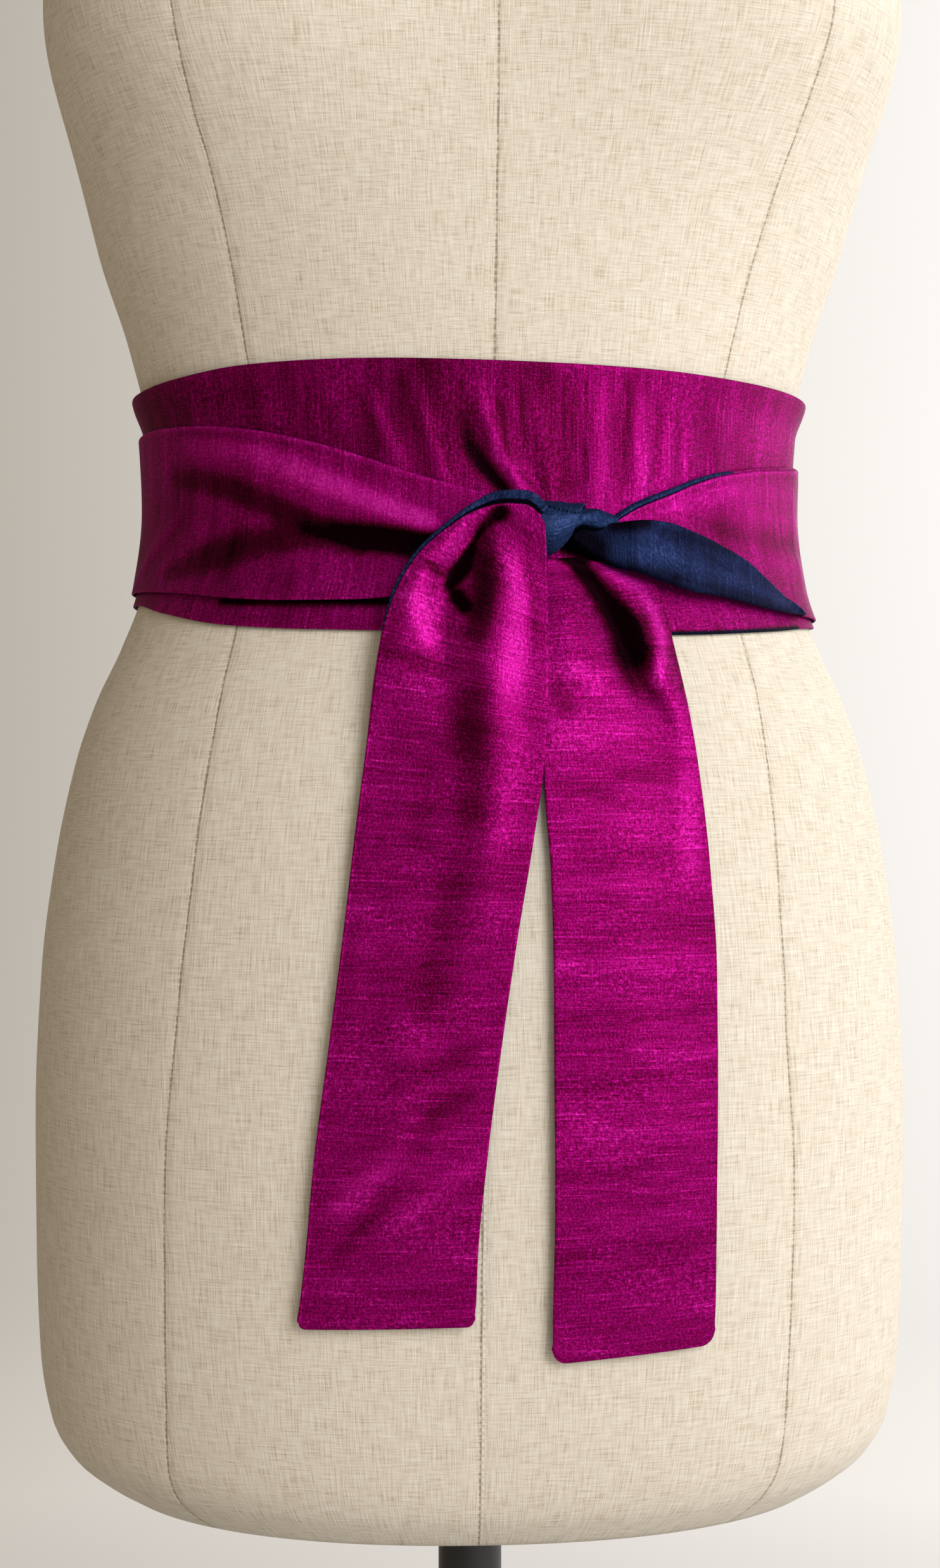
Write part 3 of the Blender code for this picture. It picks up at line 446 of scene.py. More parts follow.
def rounded(radius, low, high, soft, sides=6):
    """Profile of a disc or tube whose two outer corners are rounded by soft."""
    bend = np.radians(np.linspace(0.0, 90.0, sides))
    foot = [(radius - soft + soft * math.sin(b), low + soft - soft * math.cos(b)) for b in bend]
    head = [(radius - soft + soft * math.cos(b), high - soft + soft * math.sin(b)) for b in bend]
    return foot + head


# profiles of radius and height in metres: the pole with its softened ends, and the hub's foot and neck
POLE = [(0.0122, 0.0703), (0.0127, 0.0708), (0.0127, 0.6772), (0.0122, 0.6777)]
PLATE_RADIUS = 0.2
PLATE_THICK = 0.012
PLATE_EDGE = 0.003
HUB_FOOT = 0.034
HUB_CURVE = 0.008
HUB_NECK = [(0.026, 0.021), (0.0255, 0.064), (0.0245, 0.068), (0.0225, 0.0695), (0.020, 0.07)]
pole = turned("pole", POLE, 64)
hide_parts("form_pole")
hub_foot = [(HUB_FOOT - HUB_CURVE * math.sin(b), PLATE_THICK + HUB_CURVE * (1.0 - math.cos(b)))
            for b in np.radians(np.linspace(0.0, 90.0, 8))]
plate = turned("base_plate", rounded(PLATE_RADIUS, 0.0, PLATE_THICK, PLATE_EDGE) + hub_foot + HUB_NECK)
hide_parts("form_base")

# Band. The wide middle of the strip, plum silk bagged out with navy silk, so that it has no hem. It
# lies round the waist over the linen, stands a little off at the sides, is drawn into soft pleats
# towards the knot, and is gathered at the centre back where both ties set off from it.
CLOTH_WALL = 1.0
BAND_CLEARANCE = 0.8
CAD_WALL = 1.6
# the ends that meet at the centre back pass into each other by this many degrees, the ties' ends
# lying a little below the band's
BACK_OVERLAP = 0.5
BACK_BELOW = 0.2
# how far the lower strip's ends slip in under the upper one where the two cross at the back
BACK_TUCK = 0.55
# how many degrees off the centre back these reach
BACK_REACH = 2.5
BAND = named_rows(
    "at top bottom gather",
    (-180, 1059.2, 1013, 2.2), (-174, 1060, 1013, 2), (-165, 1070, 1013.5, 1.2), (-150, 1096, 1016, 0.4),
    (-130, 1102.5, 1020, 0), (-100, 1103, 1022.5, 0), (-77, 1103.1, 1021.5, 0), (-64, 1104, 1016.6, 0),
    (-48, 1105.8, 1010.5, 0), (-33, 1106, 1008.1, 0), (0, 1105, 1006.4, 0), (24, 1104.1, 1005.8, 0),
    (38, 1103.6, 1006.7, 0), (56, 1102.5, 1009.5, 0), (70, 1102.1, 1012.5, 0), (100, 1102, 1016, 0),
    (130, 1102, 1018, 0), (150, 1101.5, 1022, 0.4), (165, 1100.5, 1042, 1.2), (174, 1100, 1056.8, 2),
    (180, 1100, 1058, 2.2))
BAND_FLARE = 2.4
BAND_FLARE_FROM = 1088.5
BAND_FLARE_TO = 1102.0
GATHER_COUNT = 3
BAND_PLEATS = named_rows(
    "top foot rise wide",
    (-38, -27, 0.7, 2.6), (-29, -16, 0.8, 2.6), (-17, -6, 0.9, 2.4), (-3, 8.5, 1.6, 2.4),
    (11, 14.5, 0.8, 2.2), (24.5, 24, 1.3, 2.4), (33.5, 33, 1.3, 2.4), (40, 38.5, 0.8, 1.8),
    (44.5, 43.5, 0.8, 1.8), (50.5, 49.5, 0.6, 2.2))
PLEAT_TOP = 1098.0
PLEAT_FOOT = 1056.0
PLEAT_END = 1040.0


def gathers(across, rise):
    """Even ripples over the width of a strip that is drawn together, none at its edges."""
    return rise * (0.5 - 0.5 * np.cos(2.0 * math.pi * GATHER_COUNT * across))


def band_pleats(angle, height):
    """Rise of the soft pleats of the band's front at each angle and height."""
    down = (PLEAT_TOP - height) / (PLEAT_TOP - PLEAT_FOOT)
    grow = smooth_step(0.25 + down) * smooth_step((height - PLEAT_END) / (PLEAT_FOOT - PLEAT_END))
    rise = np.zeros(np.broadcast(angle, height).shape)
    for pleat in BAND_PLEATS:
        centre = pleat["top"] + (pleat["foot"] - pleat["top"]) * np.clip(down, 0.0, 1.0)
        rise = rise + pleat["rise"] * bell((angle - centre) / pleat["wide"])
    return rise * grow


def creases(table, x, y, x_scale):
    """Sum of soft folds over the cloth. Each row is a line from x0, y0 to x1, y1 with the fold's rise
    in mm, its half width in mm and its painted highlight (above zero) or painted shade (below zero);
    it fades beyond both ends."""
    rise = np.zeros(np.broadcast(x, y).shape)
    tone = np.zeros(rise.shape)
    for x0, y0, x1, y1, height, wide, lighter in table:
        dx, dy = (x1 - x0) * x_scale, y1 - y0
        px, py = (x - x0) * x_scale, y - y0
        length = math.hypot(dx, dy)
        along = (px * dx + py * dy) / length
        off = (px * dy - py * dx) / length
        beyond = np.maximum(np.maximum(-along, along - length), 0.0)
        shape = bell(np.hypot(off, 0.8 * beyond) / wide)
        rise += height * shape
        tone += lighter * shape
    return rise, tone


def bent_creases(paths, x, y, x_scale):
    """Folds that bend and change on their way. Each path is a run of points, and each point has its
    x, y, the fold's rise in mm, its half width in mm and its painted highlight (above zero) or painted
    shade (below zero). Between two points these change evenly, and the fold is flat-topped: its
    strength falls with the cube of the distance over the half width."""
    rise = np.zeros(np.broadcast(x, y).shape)
    tone = np.zeros(rise.shape)
    for path in paths:
        best, path_rise, path_tone = (np.zeros(rise.shape) for _ in range(3))
        for (x0, y0, rise0, wide0, tone0), (x1, y1, rise1, wide1, tone1) in zip(path, path[1:]):
            dx, dy = (x1 - x0) * x_scale, y1 - y0
            px, py = (x - x0) * x_scale, y - y0
            share = np.clip((px * dx + py * dy) / (dx * dx + dy * dy), 0.0, 1.0)
            off = np.hypot(px - share * dx, py - share * dy) / (wide0 + (wide1 - wide0) * share)
            strength = np.exp(-off ** 3)
            nearer = strength > best
            best = np.where(nearer, strength, best)
            path_rise = np.where(nearer, strength * (rise0 + (rise1 - rise0) * share), path_rise)
            path_tone = np.where(nearer, strength * (tone0 + (tone1 - tone0) * share), path_tone)
        rise += path_rise
        tone += path_tone
    return rise, tone


def all_creases(table, paths, x, y, x_scale):
    """Rise and painted highlight and shade of the straight and the bent folds together."""
    rise, tone = creases(table, x, y, x_scale)
    bent_rise, bent_tone = bent_creases(paths, x, y, x_scale)
    return rise + bent_rise, tone + bent_tone


# a degree round the waist is this many mm of cloth
ARC = 2.25
# the folds of the band, each with its painted highlight (above zero) or painted shade (below zero); those
# without rise are painted shadow or highlight alone, such as under the left tie's lower edge
BAND_FOLDS = [
    (12, 1100, 16, 1060, -0.3, 9, -0.12),
    (9.8, 1097, 12.5, 1080, 0, 2, 0.06), (19, 1096, 19, 1062, 0, 4, -0.06),
    (25.4, 1097, 25.5, 1064, 0.12, 2.2, 0.09), (28, 1098, 28.2, 1064, 0, 1, -0.06),
    (30.6, 1098, 30.6, 1063, -0.15, 2.4, -0.12), (33.7, 1091, 33.7, 1063, 0.12, 2.8, 0.11),
    (37.4, 1090, 36.8, 1066, -0.12, 1.6, -0.13), (39.4, 1084, 38.9, 1066, 0.1, 1.5, 0.07),
    (41.2, 1087, 41.1, 1068, -0.12, 1.3, -0.13), (43.2, 1082, 42.6, 1068, 0.1, 1.5, 0.07),
    (45, 1088, 44.6, 1070, -0.1, 1.2, -0.08), (48.5, 1086, 48, 1076, 0, 1.6, -0.05),
    (17.2, 1099, 17.2, 1058, -0.05, 0.7, -0.1), (21.8, 1098, 22, 1062, 0, 0.9, -0.07),
    (13.6, 1096, 14.4, 1062, 0, 1, 0.05), (7, 1098, 9.8, 1070, 0, 1.4, -0.07),
    (3.4, 1090, 5, 1072, 0, 1.6, -0.14),
    (55, 1090, 64, 1084, 0, 11, 0.1), (70, 1094, 76, 1084, 0, 9, 0.09),
    (-32.9, 1096, -29, 1084, 0.3, 3, 0.06), (-35.5, 1094, -31.5, 1078, -0.2, 4, -0.07),
    (-26.5, 1094, -21.8, 1074, -0.3, 3, -0.09), (-23.9, 1092, -18.4, 1072, 0.4, 2.8, 0.1),
    (-17.5, 1098, -14.5, 1080, -0.2, 2.6, -0.07), (-14.2, 1098, -9, 1062, 0.3, 2.6, 0.1),
    (-10.5, 1078, -5.5, 1058, -0.3, 3, -0.1), (-8.2, 1096, -5.6, 1080, 0.2, 3, 0.05),
    (-45, 1094, -41, 1080, 0.2, 4.5, 0.05), (-50, 1084, -38, 1076, 0, 5, -0.05),
    (-62, 1096, -60, 1086, 0.2, 4, 0.04), (-74, 1096, -46, 1096, 0, 9, -0.1),
    (20, 1090, 56, 1090, 0, 14, -0.04), (-28, 1014, -8, 1012, 0, 3, 0.06),
    (-52, 1014, -38, 1011, 0, 2.6, -0.05), (36, 1013, 60, 1016, 0, 3, 0.05),
    (-50, 1018.6, -17, 1016.8, 0, 1.4, -0.55), (-80, 1060, -8, 1085, 0, 40, -0.14),
    (-12, 1100, 8, 1062, 0, 16, -0.1),
    (-95, 1098, -92, 1030, 0.5, 6, 0.04), (-118, 1096, -121, 1030, -0.6, 7, -0.05),
    (92, 1098, 96, 1024, 0.5, 6, 0.05), (112, 1096, 109, 1024, -0.6, 8, -0.05),
    (128, 1098, 134, 1030, 0.5, 6, 0.04), (-138, 1094, -134, 1030, 0.5, 6, 0.04),
]
# bent folds with painted highlight and shade; the last is painted shadow below the flap and the knot
BAND_BENT_FOLDS = [
    [(-1.2, 1098, 0, 1.6, 0.05), (0, 1087, 0.2, 2, 0.14), (2.9, 1071, 0.4, 2.6, 0.26),
     (5.9, 1063.7, 0.4, 2.4, 0.22), (9, 1057, 0.2, 2, 0.08)],
    [(-5.2, 1086, -0.1, 3, -0.1), (-3.2, 1075, -0.3, 4, -0.28), (0, 1067, -0.5, 3.6, -0.42),
     (3.5, 1060.5, -0.5, 3, -0.42), (6.6, 1054, -0.3, 2.4, -0.3)],
    [(12.5, 1041, 0, 3, -0.55), (17.5, 1038, 0, 4, -0.6), (23, 1035, 0, 3, -0.5),
     (31, 1031, 0, 2, -0.2)],
]
# the painted highlight on the rim of a shell, and the back's share on the rim's three rows
RIM_HIGHLIGHT = 0.06
RIM_BACKS = (-0.5, 0.0, 0.5)


def unit(vectors):
    """The same directions, each of length 1."""
    return vectors / np.linalg.norm(vectors, axis=-1, keepdims=True)


def cloth_shell(name, middle, shade, show_back, material):
    """Thin closed shell on a grid of middle points. Both layers stand half the wall off it along the
    grid's normal, and half a circle joins them round all four edges. shade darkens or lightens the
    cloth at each point: mostly painted shade and painted highlight of folds, edges and hollows, and
    the rim gets a painted highlight. Where show_back is above zero, the outer layer shows the strip's
    navy back and elsewhere its plum face; the inner layer is always the back."""
    rows, columns = middle.shape[:2]
    along = np.gradient(middle, axis=0)
    across = np.gradient(middle, axis=1)
    normal = unit(np.cross(across, along))
    half = CLOTH_WALL * MM / 2.0
    away = np.zeros_like(middle)
    away[0] -= unit(along[0])
    away[-1] += unit(along[-1])
    away[:, 0] -= unit(across[:, 0])
    away[:, -1] += unit(across[:, -1])
    index = np.arange(rows * columns).reshape(rows, columns)
    rim = np.concatenate([index[0], index[1:, -1], index[-1, -2::-1], index[-2:0:-1, 0]])
    flat, up, out = (a.reshape(-1, 3) for a in (middle, normal, away))
    out_rim = unit(out[rim])
    loops = [flat[rim] + half * (math.cos(b) * up[rim] + math.sin(b) * out_rim)
             for b in np.radians([45.0, 90.0, 135.0])]
    points = np.concatenate([flat + half * up, flat - half * up] + loops)
    count, edge = rows * columns, len(rim)
    chain = [rim] + [2 * count + k * edge + np.arange(edge) for k in range(3)] + [rim + count]
    faces = [ring_faces(rows, columns, False), ring_faces(rows, columns, False)[:, ::-1] + count]
    faces += [np.stack([a, b, np.roll(b, -1), np.roll(a, -1)], axis=-1)
              for a, b in zip(chain, chain[1:])]
    made = make_object(name, points, np.concatenate(faces).tolist(), [material])
    across_run = np.zeros((rows, columns))
    across_run[:, 1:] = np.cumsum(np.linalg.norm(np.diff(middle, axis=1), axis=2), axis=1)
    centre = middle[:, columns // 2]
    along_run = np.concatenate([[0.0], np.cumsum(np.linalg.norm(np.diff(centre, axis=0), axis=1))])
    across_run = across_run.ravel()
    along_run = np.repeat(along_run, columns)
    put_map(made, np.concatenate([across_run] * 2 + [across_run[rim]] * 3),
            np.concatenate([along_run] * 2 + [along_run[rim]] * 3))
    face_side = np.broadcast_to(show_back, (rows, columns)).ravel()
    put_values(made, "back", np.concatenate([face_side, np.full(count, 1.0)]
                                            + [np.maximum(face_side[rim], s) for s in RIM_BACKS]))
    tone = np.broadcast_to(shade, (rows, columns)).ravel()
    put_values(made, "shade", np.concatenate([tone, tone] + [tone[rim] + RIM_HIGHLIGHT] * 3))
    width = float(np.mean(across_run.reshape(rows, columns)[:, -1]))
    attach(made, "root")
    return made, (width, float(along_run[-1]))


PLUM_TONES = [(0.0, (0.004, 0.0, 0.0005)), (0.25, (0.074, 0.0002, 0.018)), (0.5, (0.235, 0.0010, 0.097)),
              (0.75, (0.43, 0.0050, 0.215)), (1.0, (0.66, 0.020, 0.38))]
NAVY_TONES = [(0.0, (0.0002, 0.001, 0.003)), (0.25, (0.003, 0.007, 0.024)), (0.5, (0.010, 0.021, 0.071)),
              (0.75, (0.026, 0.045, 0.130)), (1.0, (0.060, 0.092, 0.215))]
PLUM_GLINT = (0.42, 0.12, 0.36, 1.0)
NAVY_GLINT = (0.2, 0.35, 0.65, 1.0)


def silk(name, shift, slubby, glint=PLUM_GLINT):
    """Slubby two-sided silk, plum or navy by the back value. Uneven weft threads run across the strip
    over fine grain; slubby is how far they show. The shade value, mostly painted shade and painted
    highlight, is added to the tone; where the painted shade is deep the threads fade, and threads
    lighten the cloth more than they darken it. glint tints the small highlights."""
    material, tree = new_material(name)
    cloth = add_node(tree, "UVMap", uv_map="cloth").outputs[0]
    weft = stretched_noise(tree, cloth, (48.0, 1400.0), shift=shift)
    grain = stretched_noise(tree, cloth, (1500.0, 1200.0), detail=1.0, shift=shift + 5.0)
    warp = stretched_noise(tree, cloth, (1400.0, 260.0), shift=shift)
    slub = graded(tree, stretched_noise(tree, cloth, (40.0, 1000.0), shift=shift + 3.0), 0.60, 0.76)
    nub = graded(tree, stretched_noise(tree, cloth, (300.0, 1100.0), shift=shift + 7.0), 0.72, 0.80)
    crumb = stretched_noise(tree, cloth, (560.0, 800.0), shift=shift + 9.0)
    patch = stretched_noise(tree, cloth, (24.0, 46.0), detail=3.0, shift=shift + 17.0)
    band = stretched_noise(tree, cloth, (9.0, 150.0), detail=3.0, shift=shift + 11.0)
    twill = stretched_noise(tree, cloth, (110.0, 1400.0), turn=48.0, shift=shift)
    crumb = maths(tree, "SUBTRACT", crumb, 0.5)
    crumb = maths(tree, "MULTIPLY", crumb, graded(tree, patch, 0.40, 0.60))
    shade = add_node(tree, "Attribute", attribute_name="shade").outputs["Fac"]
    back = add_node(tree, "Attribute", attribute_name="back").outputs["Fac"]
    thread = total(tree, [(weft, 0.46), (warp, 0.46), (grain, 0.90), (slub, 0.24), (nub, 0.40),
                          (crumb, 0.90), (twill, 0.36)])
    thread = maths(tree, "SUBTRACT", thread, 1.11)
    thread = maths(tree, "MAXIMUM", thread, maths(tree, "MULTIPLY", thread, 0.6))
    thread = maths(tree, "MULTIPLY", thread, graded(tree, shade, -0.45, 0.05, 0.3 * slubby, slubby))
    tone = total(tree, [(shade, 1.0), (thread, 1.0), (band, 0.20), (patch, 0.18)])
    tone = maths(tree, "ADD", tone, 0.29)
    colour = add_node(tree, "Mix", {0: graded(tree, back, -0.12, 0.12), 6: ramp(tree, tone, PLUM_TONES),
                                    7: ramp(tree, tone, NAVY_TONES)}, data_type="RGBA").outputs[2]
    relief = total(tree, [(weft, 0.7 * slubby), (grain, 0.6), (crumb, 1.2 * slubby)])
    bump = add_node(tree, "Bump", {"Height": relief, "Strength": 0.5, "Distance": 0.0004})
    surface(tree, add_node(tree, "BsdfPrincipled", {
        "Base Color": colour, "Roughness": 0.5, "Metallic": 0.55, "Specular IOR Level": 0.14,
        "Specular Tint": glint, "Normal": bump.outputs[0]}))
    return material


# how much painted highlight a pleat gets per mm of its rise, and where the navy edge shows and how
# much painted shade darkens it
PLEAT_HIGHLIGHT = 0.04
NAVY_EDGE_FROM = 33.0
NAVY_EDGE_TO = 66.0
NAVY_EDGE_ACROSS = 0.992
NAVY_EDGE_SHADE = 0.4
band_silk = silk("plum silk of the band", 0.0, 0.85)
band_turn = np.linspace(-180.0 - BACK_OVERLAP, 180.0 + BACK_OVERLAP, 481)[:, None]
band_across = np.linspace(0.0, 1.0, 61)[None, :]
band_top = eased(BAND, "top", band_turn)
band_bottom = eased(BAND, "bottom", band_turn)
band_height = band_top + (band_bottom - band_top) * band_across
band_rise = band_pleats(band_turn, band_height)
flare = smooth_step((band_height - BAND_FLARE_FROM) / (BAND_FLARE_TO - BAND_FLARE_FROM))
band_out = BAND_CLEARANCE + CAD_WALL / 2.0 + gathers(band_across, eased(BAND, "gather", band_turn))
band_out = band_out + band_rise + BAND_FLARE * flare * np.sin(np.radians(band_turn)) ** 4
fold_rise, fold_light_and_shade = all_creases(BAND_FOLDS, BAND_BENT_FOLDS, band_turn, band_height, ARC)
band_out = band_out + fold_rise - BACK_TUCK * bell((band_turn + 180.0) / BACK_REACH)
# painted highlight on each pleat's rise, and the folds' painted highlight and shade
band_shade = PLEAT_HIGHLIGHT * band_rise + fold_light_and_shade
# a little of the navy back rolls out under the lower edge at the viewer's right, darkened by painted
# shade
rolls_out = (band_across > NAVY_EDGE_ACROSS) & (band_turn > NAVY_EDGE_FROM) & (band_turn < NAVY_EDGE_TO)
band_back = np.where(rolls_out, 0.6, -1.0)
band_shade = band_shade - NAVY_EDGE_SHADE * rolls_out
band, band_size = cloth_shell("band_plum", form_point(band_turn, band_height, band_out), band_shade,
                              band_back, band_silk)
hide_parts("band")

# Left tie. The strip's narrow half that comes from the centre back round the viewer's left, over the
# band, and up to the knot. The pull of the knot draws one long round fold in it, with a deep hollow
# below, painted with shade that deepens towards the knot.
TIE_LEFT = named_rows(
    "at top bottom top_out crest_at crest_out hollow_at hollow_out foot_out gather",
    (-180, 1100, 1058, 1.6, 0.4, 1.6, 0.7, 1.6, 1.6, 2.2),
    (-174, 1100, 1057.2, 4, 0.4, 4, 0.7, 4, 4, 1.8),
    (-170, 1098.5, 1053.6, 5.2, 0.4, 5.2, 0.7, 5.2, 5.2, 1.5),
    (-165, 1096, 1048, 5.2, 0.4, 5.2, 0.7, 5.2, 5.2, 1.2),
    (-150, 1090, 1036, 4.3, 0.4, 4.3, 0.7, 4.3, 4.3, 0.6),
    (-125, 1088, 1029.5, 3.7, 0.35, 3.7, 0.7, 3.7, 3.7, 0.2),
    (-77, 1087.4, 1026.5, 3.7, 0.25, 3.8, 0.7, 3.7, 3.7, 0),
    (-60, 1085.5, 1023.6, 3.7, 0.27, 4.4, 0.7, 3.7, 4, 0),
    (-47, 1081.8, 1020.2, 4, 0.31, 5.3, 0.69, 3.8, 5, 0),
    (-36, 1076.5, 1018.6, 4.5, 0.35, 6.4, 0.67, 3.9, 6, 0),
    (-24, 1069.5, 1018.3, 4.7, 0.41, 7.7, 0.66, 4, 6.8, 0),
    (-16, 1064.4, 1019.4, 4.8, 0.45, 8.7, 0.65, 4.2, 7.2, 0),
    (-8, 1060.3, 1022.5, 5, 0.48, 9.4, 0.66, 4.6, 7.5, 0),
    (0, 1056.5, 1028, 5.6, 0.5, 9.6, 0.7, 5.6, 8, 0), (8.4, 1052.6, 1036, 6.4, 0.5, 9.4, 0.75, 7, 8.2, 0))


def tie_left_out(row_of, across):
    """Distance off the form over the left tie's width: edge, crest, hollow, edge."""
    places = np.array([0.0, row_of("crest_at"), row_of("hollow_at"), 1.0])
    outs = np.array([row_of("top_out"), row_of("crest_out"), row_of("hollow_out"), row_of("foot_out")])
    return eased_points(places, outs, across)


# folds of the left tie, each with its painted highlight (above zero) or painted shade (below zero)
TIE_LEFT_CREASES = [
    (-64, 1084.5, -30, 1072, 0, 1.6, -0.08), (-30, 1069, -14, 1060, 0, 1.8, -0.08),
    (-35.6, 1036, -34, 1020, 0.3, 2.2, 0.1), (-30, 1026, -16, 1025, 0.2, 5.5, 0.1),
    (-78, 1030, -66, 1050, 0.5, 3.4, 0.07), (-72, 1034, -63, 1049, -0.3, 3, -0.06),
    (-88, 1080, -80, 1040, 0, 8, -0.05), (-104, 1086, -98, 1034, 0.5, 6, 0.05),
    (-122, 1082, -130, 1036, -0.6, 6, -0.06), (-140, 1086, -146, 1040, 0.5, 5, 0.05),
    (-70, 1058, -48, 1048, 0, 8, -0.06), (-52, 1027, -22, 1026, 0, 6, -0.08),
]
# the long fold's painted highlight, the painted shade of the hollow below it, deepest near the knot, and
# painted shade lower down
TIE_LEFT_BENT_CREASES = [
    [(-62, 1079, 0.2, 4, 0.06), (-48, 1075, 0.4, 4.4, 0.2), (-39.3, 1067.5, 0.5, 4.8, 0.28),
     (-31.2, 1060.5, 0.5, 4.6, 0.36), (-21.1, 1053, 0.4, 4.4, 0.4), (-11, 1045.6, 0.3, 4, 0.38)],
    [(-66, 1068, -0.2, 4, -0.12), (-58, 1065, -0.4, 5, -0.28), (-50.7, 1061, -0.5, 5.2, -0.32),
     (-41.3, 1052.5, -0.6, 5.2, -0.34), (-33.2, 1045.6, -0.7, 4.2, -0.4), (-28, 1042.6, -0.7, 4.4, -0.66),
     (-22, 1040.5, -0.6, 4.9, -0.76), (-16, 1038.7, -0.6, 5.1, -0.8), (-8, 1036.8, -0.5, 5, -0.8)],
    [(-64, 1031, -0.2, 3.6, -0.14), (-57, 1035, -0.4, 6.2, -0.3), (-49.4, 1038, -0.4, 7, -0.36),
     (-41, 1041, -0.4, 6.2, -0.34), (-34, 1041, -0.3, 4.6, -0.28), (-24, 1036, 0, 3, -0.2)],
]
# the tie's upper edge catches the light: how much, and over what share of its width
EDGE_LIGHT = 0.16
EDGE_SHARE = 0.03
tie_silk = silk("plum silk of the ties", 2.3, 0.75)
left_first = TIE_LEFT[0]["at"] - BACK_OVERLAP
left_turn = np.linspace(left_first, TIE_LEFT[-1]["at"], 281)[:, None]
left_across = np.linspace(0.0, 1.0, 57)[None, :]
left_top = eased(TIE_LEFT, "top", left_turn)
left_bottom = eased(TIE_LEFT, "bottom", left_turn)
left_height = left_top + (left_bottom - left_top) * left_across
left_out = np.array([tie_left_out(lambda column: float(eased(TIE_LEFT, column, angle)), left_across[0])
                     for angle in left_turn[:, 0]])
left_out = left_out + gathers(left_across, eased(TIE_LEFT, "gather", left_turn))
fold_rise, left_shade = all_creases(TIE_LEFT_CREASES, TIE_LEFT_BENT_CREASES, left_turn, left_height, ARC)
left_out = left_out + fold_rise - BACK_BELOW * bell((left_turn + 180.0) / BACK_REACH)
left_shade = left_shade + EDGE_LIGHT * smooth_step(1.0 - left_across / EDGE_SHARE)
tie_left, tie_left_size = cloth_shell("tie_left_plum", form_point(left_turn, left_height, left_out),
                                      left_shade, -1.0, tie_silk)
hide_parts("tie_left")

# Right tie. The other half, which comes from the centre back round the viewer's right. Before the
# knot its lower part is folded up over itself, so the navy back shows as a long leaf-shaped flap.
TIE_RIGHT = named_rows(
    "at top fold flap turn top_out fold_out gather",
    (16.6, 1043, 1039.8, 3, 172, 5, 6, 0), (18.6, 1042.6, 1036.8, 6, 172, 5, 6.2, 0),
    (21, 1042.8, 1033.4, 10, 172, 5, 6.6, 0), (24, 1044.2, 1030.2, 14, 171, 5, 7.4, 0),
    (28, 1048.9, 1028.1, 17.3, 170, 5.1, 9.6, 0), (31, 1052.2, 1026.2, 19.4, 168, 5, 9, 0),
    (34.5, 1055.2, 1024.2, 20.6, 166, 5, 8, 0), (39, 1058.8, 1022.1, 19.8, 166, 4.8, 6.8, 0),
    (44, 1063.2, 1021.2, 17.2, 167, 4.6, 5.4, 0), (49.4, 1066.9, 1019.6, 14.2, 168, 4.4, 4.6, 0),
    (56, 1069.8, 1017.8, 7.6, 168, 4, 4, 0), (60, 1071.3, 1017.2, 3.2, 166, 3.7, 3.8, 0),
    (64, 1072.4, 1016.9, 1.6, 90, 3.7, 3.7, 0), (68, 1073.4, 1016.9, 1.5, 0, 3.7, 3.7, 0),
    (77, 1075.5, 1017, 1.5, 0, 3.7, 3.7, 0), (100, 1077, 1017.5, 1.5, 0, 3.7, 3.7, 0.1),
    (130, 1075.5, 1016.5, 1.5, 0, 3.8, 3.8, 0.2), (150, 1071, 1014.5, 1.5, 0, 4.3, 4.3, 0.6),
    (165, 1063, 1013, 1.5, 0, 5.2, 5.2, 1.2), (170, 1060.5, 1013, 1.5, 0, 5.2, 5.2, 1.5),
    (174, 1059.6, 1013, 1.5, 0, 4, 4, 1.8), (180, 1059.2, 1013, 1.5, 0, 1.6, 1.6, 2.2))
FOLD_LENGTH = 4.7
# a rolled edge: the columns that it adds, its least width in mm, and over how many more it turns navy
ROLL_COLUMNS = 8
ROLL_STEP = np.linspace(1.0, 0.0, ROLL_COLUMNS + 1)[None, :-1]
ROLL_LEAST = 0.12
ROLL_BLEND = 0.4
# folds of the right tie's panel, each with its painted highlight or painted shade
TIE_RIGHT_CREASES = [
    (40, 1055, 52, 1061, 0.3, 3.5, 0.12), (52, 1062, 72, 1064, 0.4, 4.5, 0.1),
    (46, 1047, 76, 1044, -0.4, 4.2, -0.13), (58, 1052, 76, 1048, 0, 16, 0.07),
    (56, 1054, 76, 1054, 0.3, 3, 0.06), (62, 1036, 74, 1036, 0.4, 4, 0.07),
    (66, 1068, 67.5, 1030, -0.2, 1.2, -0.07), (74, 1066, 73, 1026, 0.2, 2, 0.06),
    (28, 1046, 40, 1054, 0, 2, 0.1), (84, 1070, 86, 1022, 0.4, 5, 0.04),
    (100, 1072, 96, 1022, -0.5, 6, -0.06), (116, 1070, 120, 1022, 0.5, 6, 0.05),
    (134, 1072, 128, 1022, -0.5, 6, -0.05), (150, 1066, 156, 1020, 0.5, 5, 0.05),
]
# folds of the flap with their painted highlight and shade; the first paints the flap's end near the knot
# almost black with painted shadow
FLAP_CREASES = [
    (14, 1041, 19, 1036.5, 0, 7.5, -0.75), (24, 1044.5, 29, 1046, 0, 2.6, -0.45),
    (32, 1043, 46, 1038, 0, 2.6, -0.16), (23, 1036, 34, 1034, 0.3, 3, 0.1),
    (34, 1033, 47, 1027, 0.3, 3.2, 0.08), (47, 1027, 60, 1019, 0.2, 2.2, 0.07),
    (21, 1031, 34, 1026.5, 0, 2, -0.24), (34, 1026, 60, 1018, 0, 1.5, -0.16),
    (40, 1036, 46, 1030, 0, 0.7, -0.1), (30, 1036, 52, 1026, 0, 30, -0.1),
]
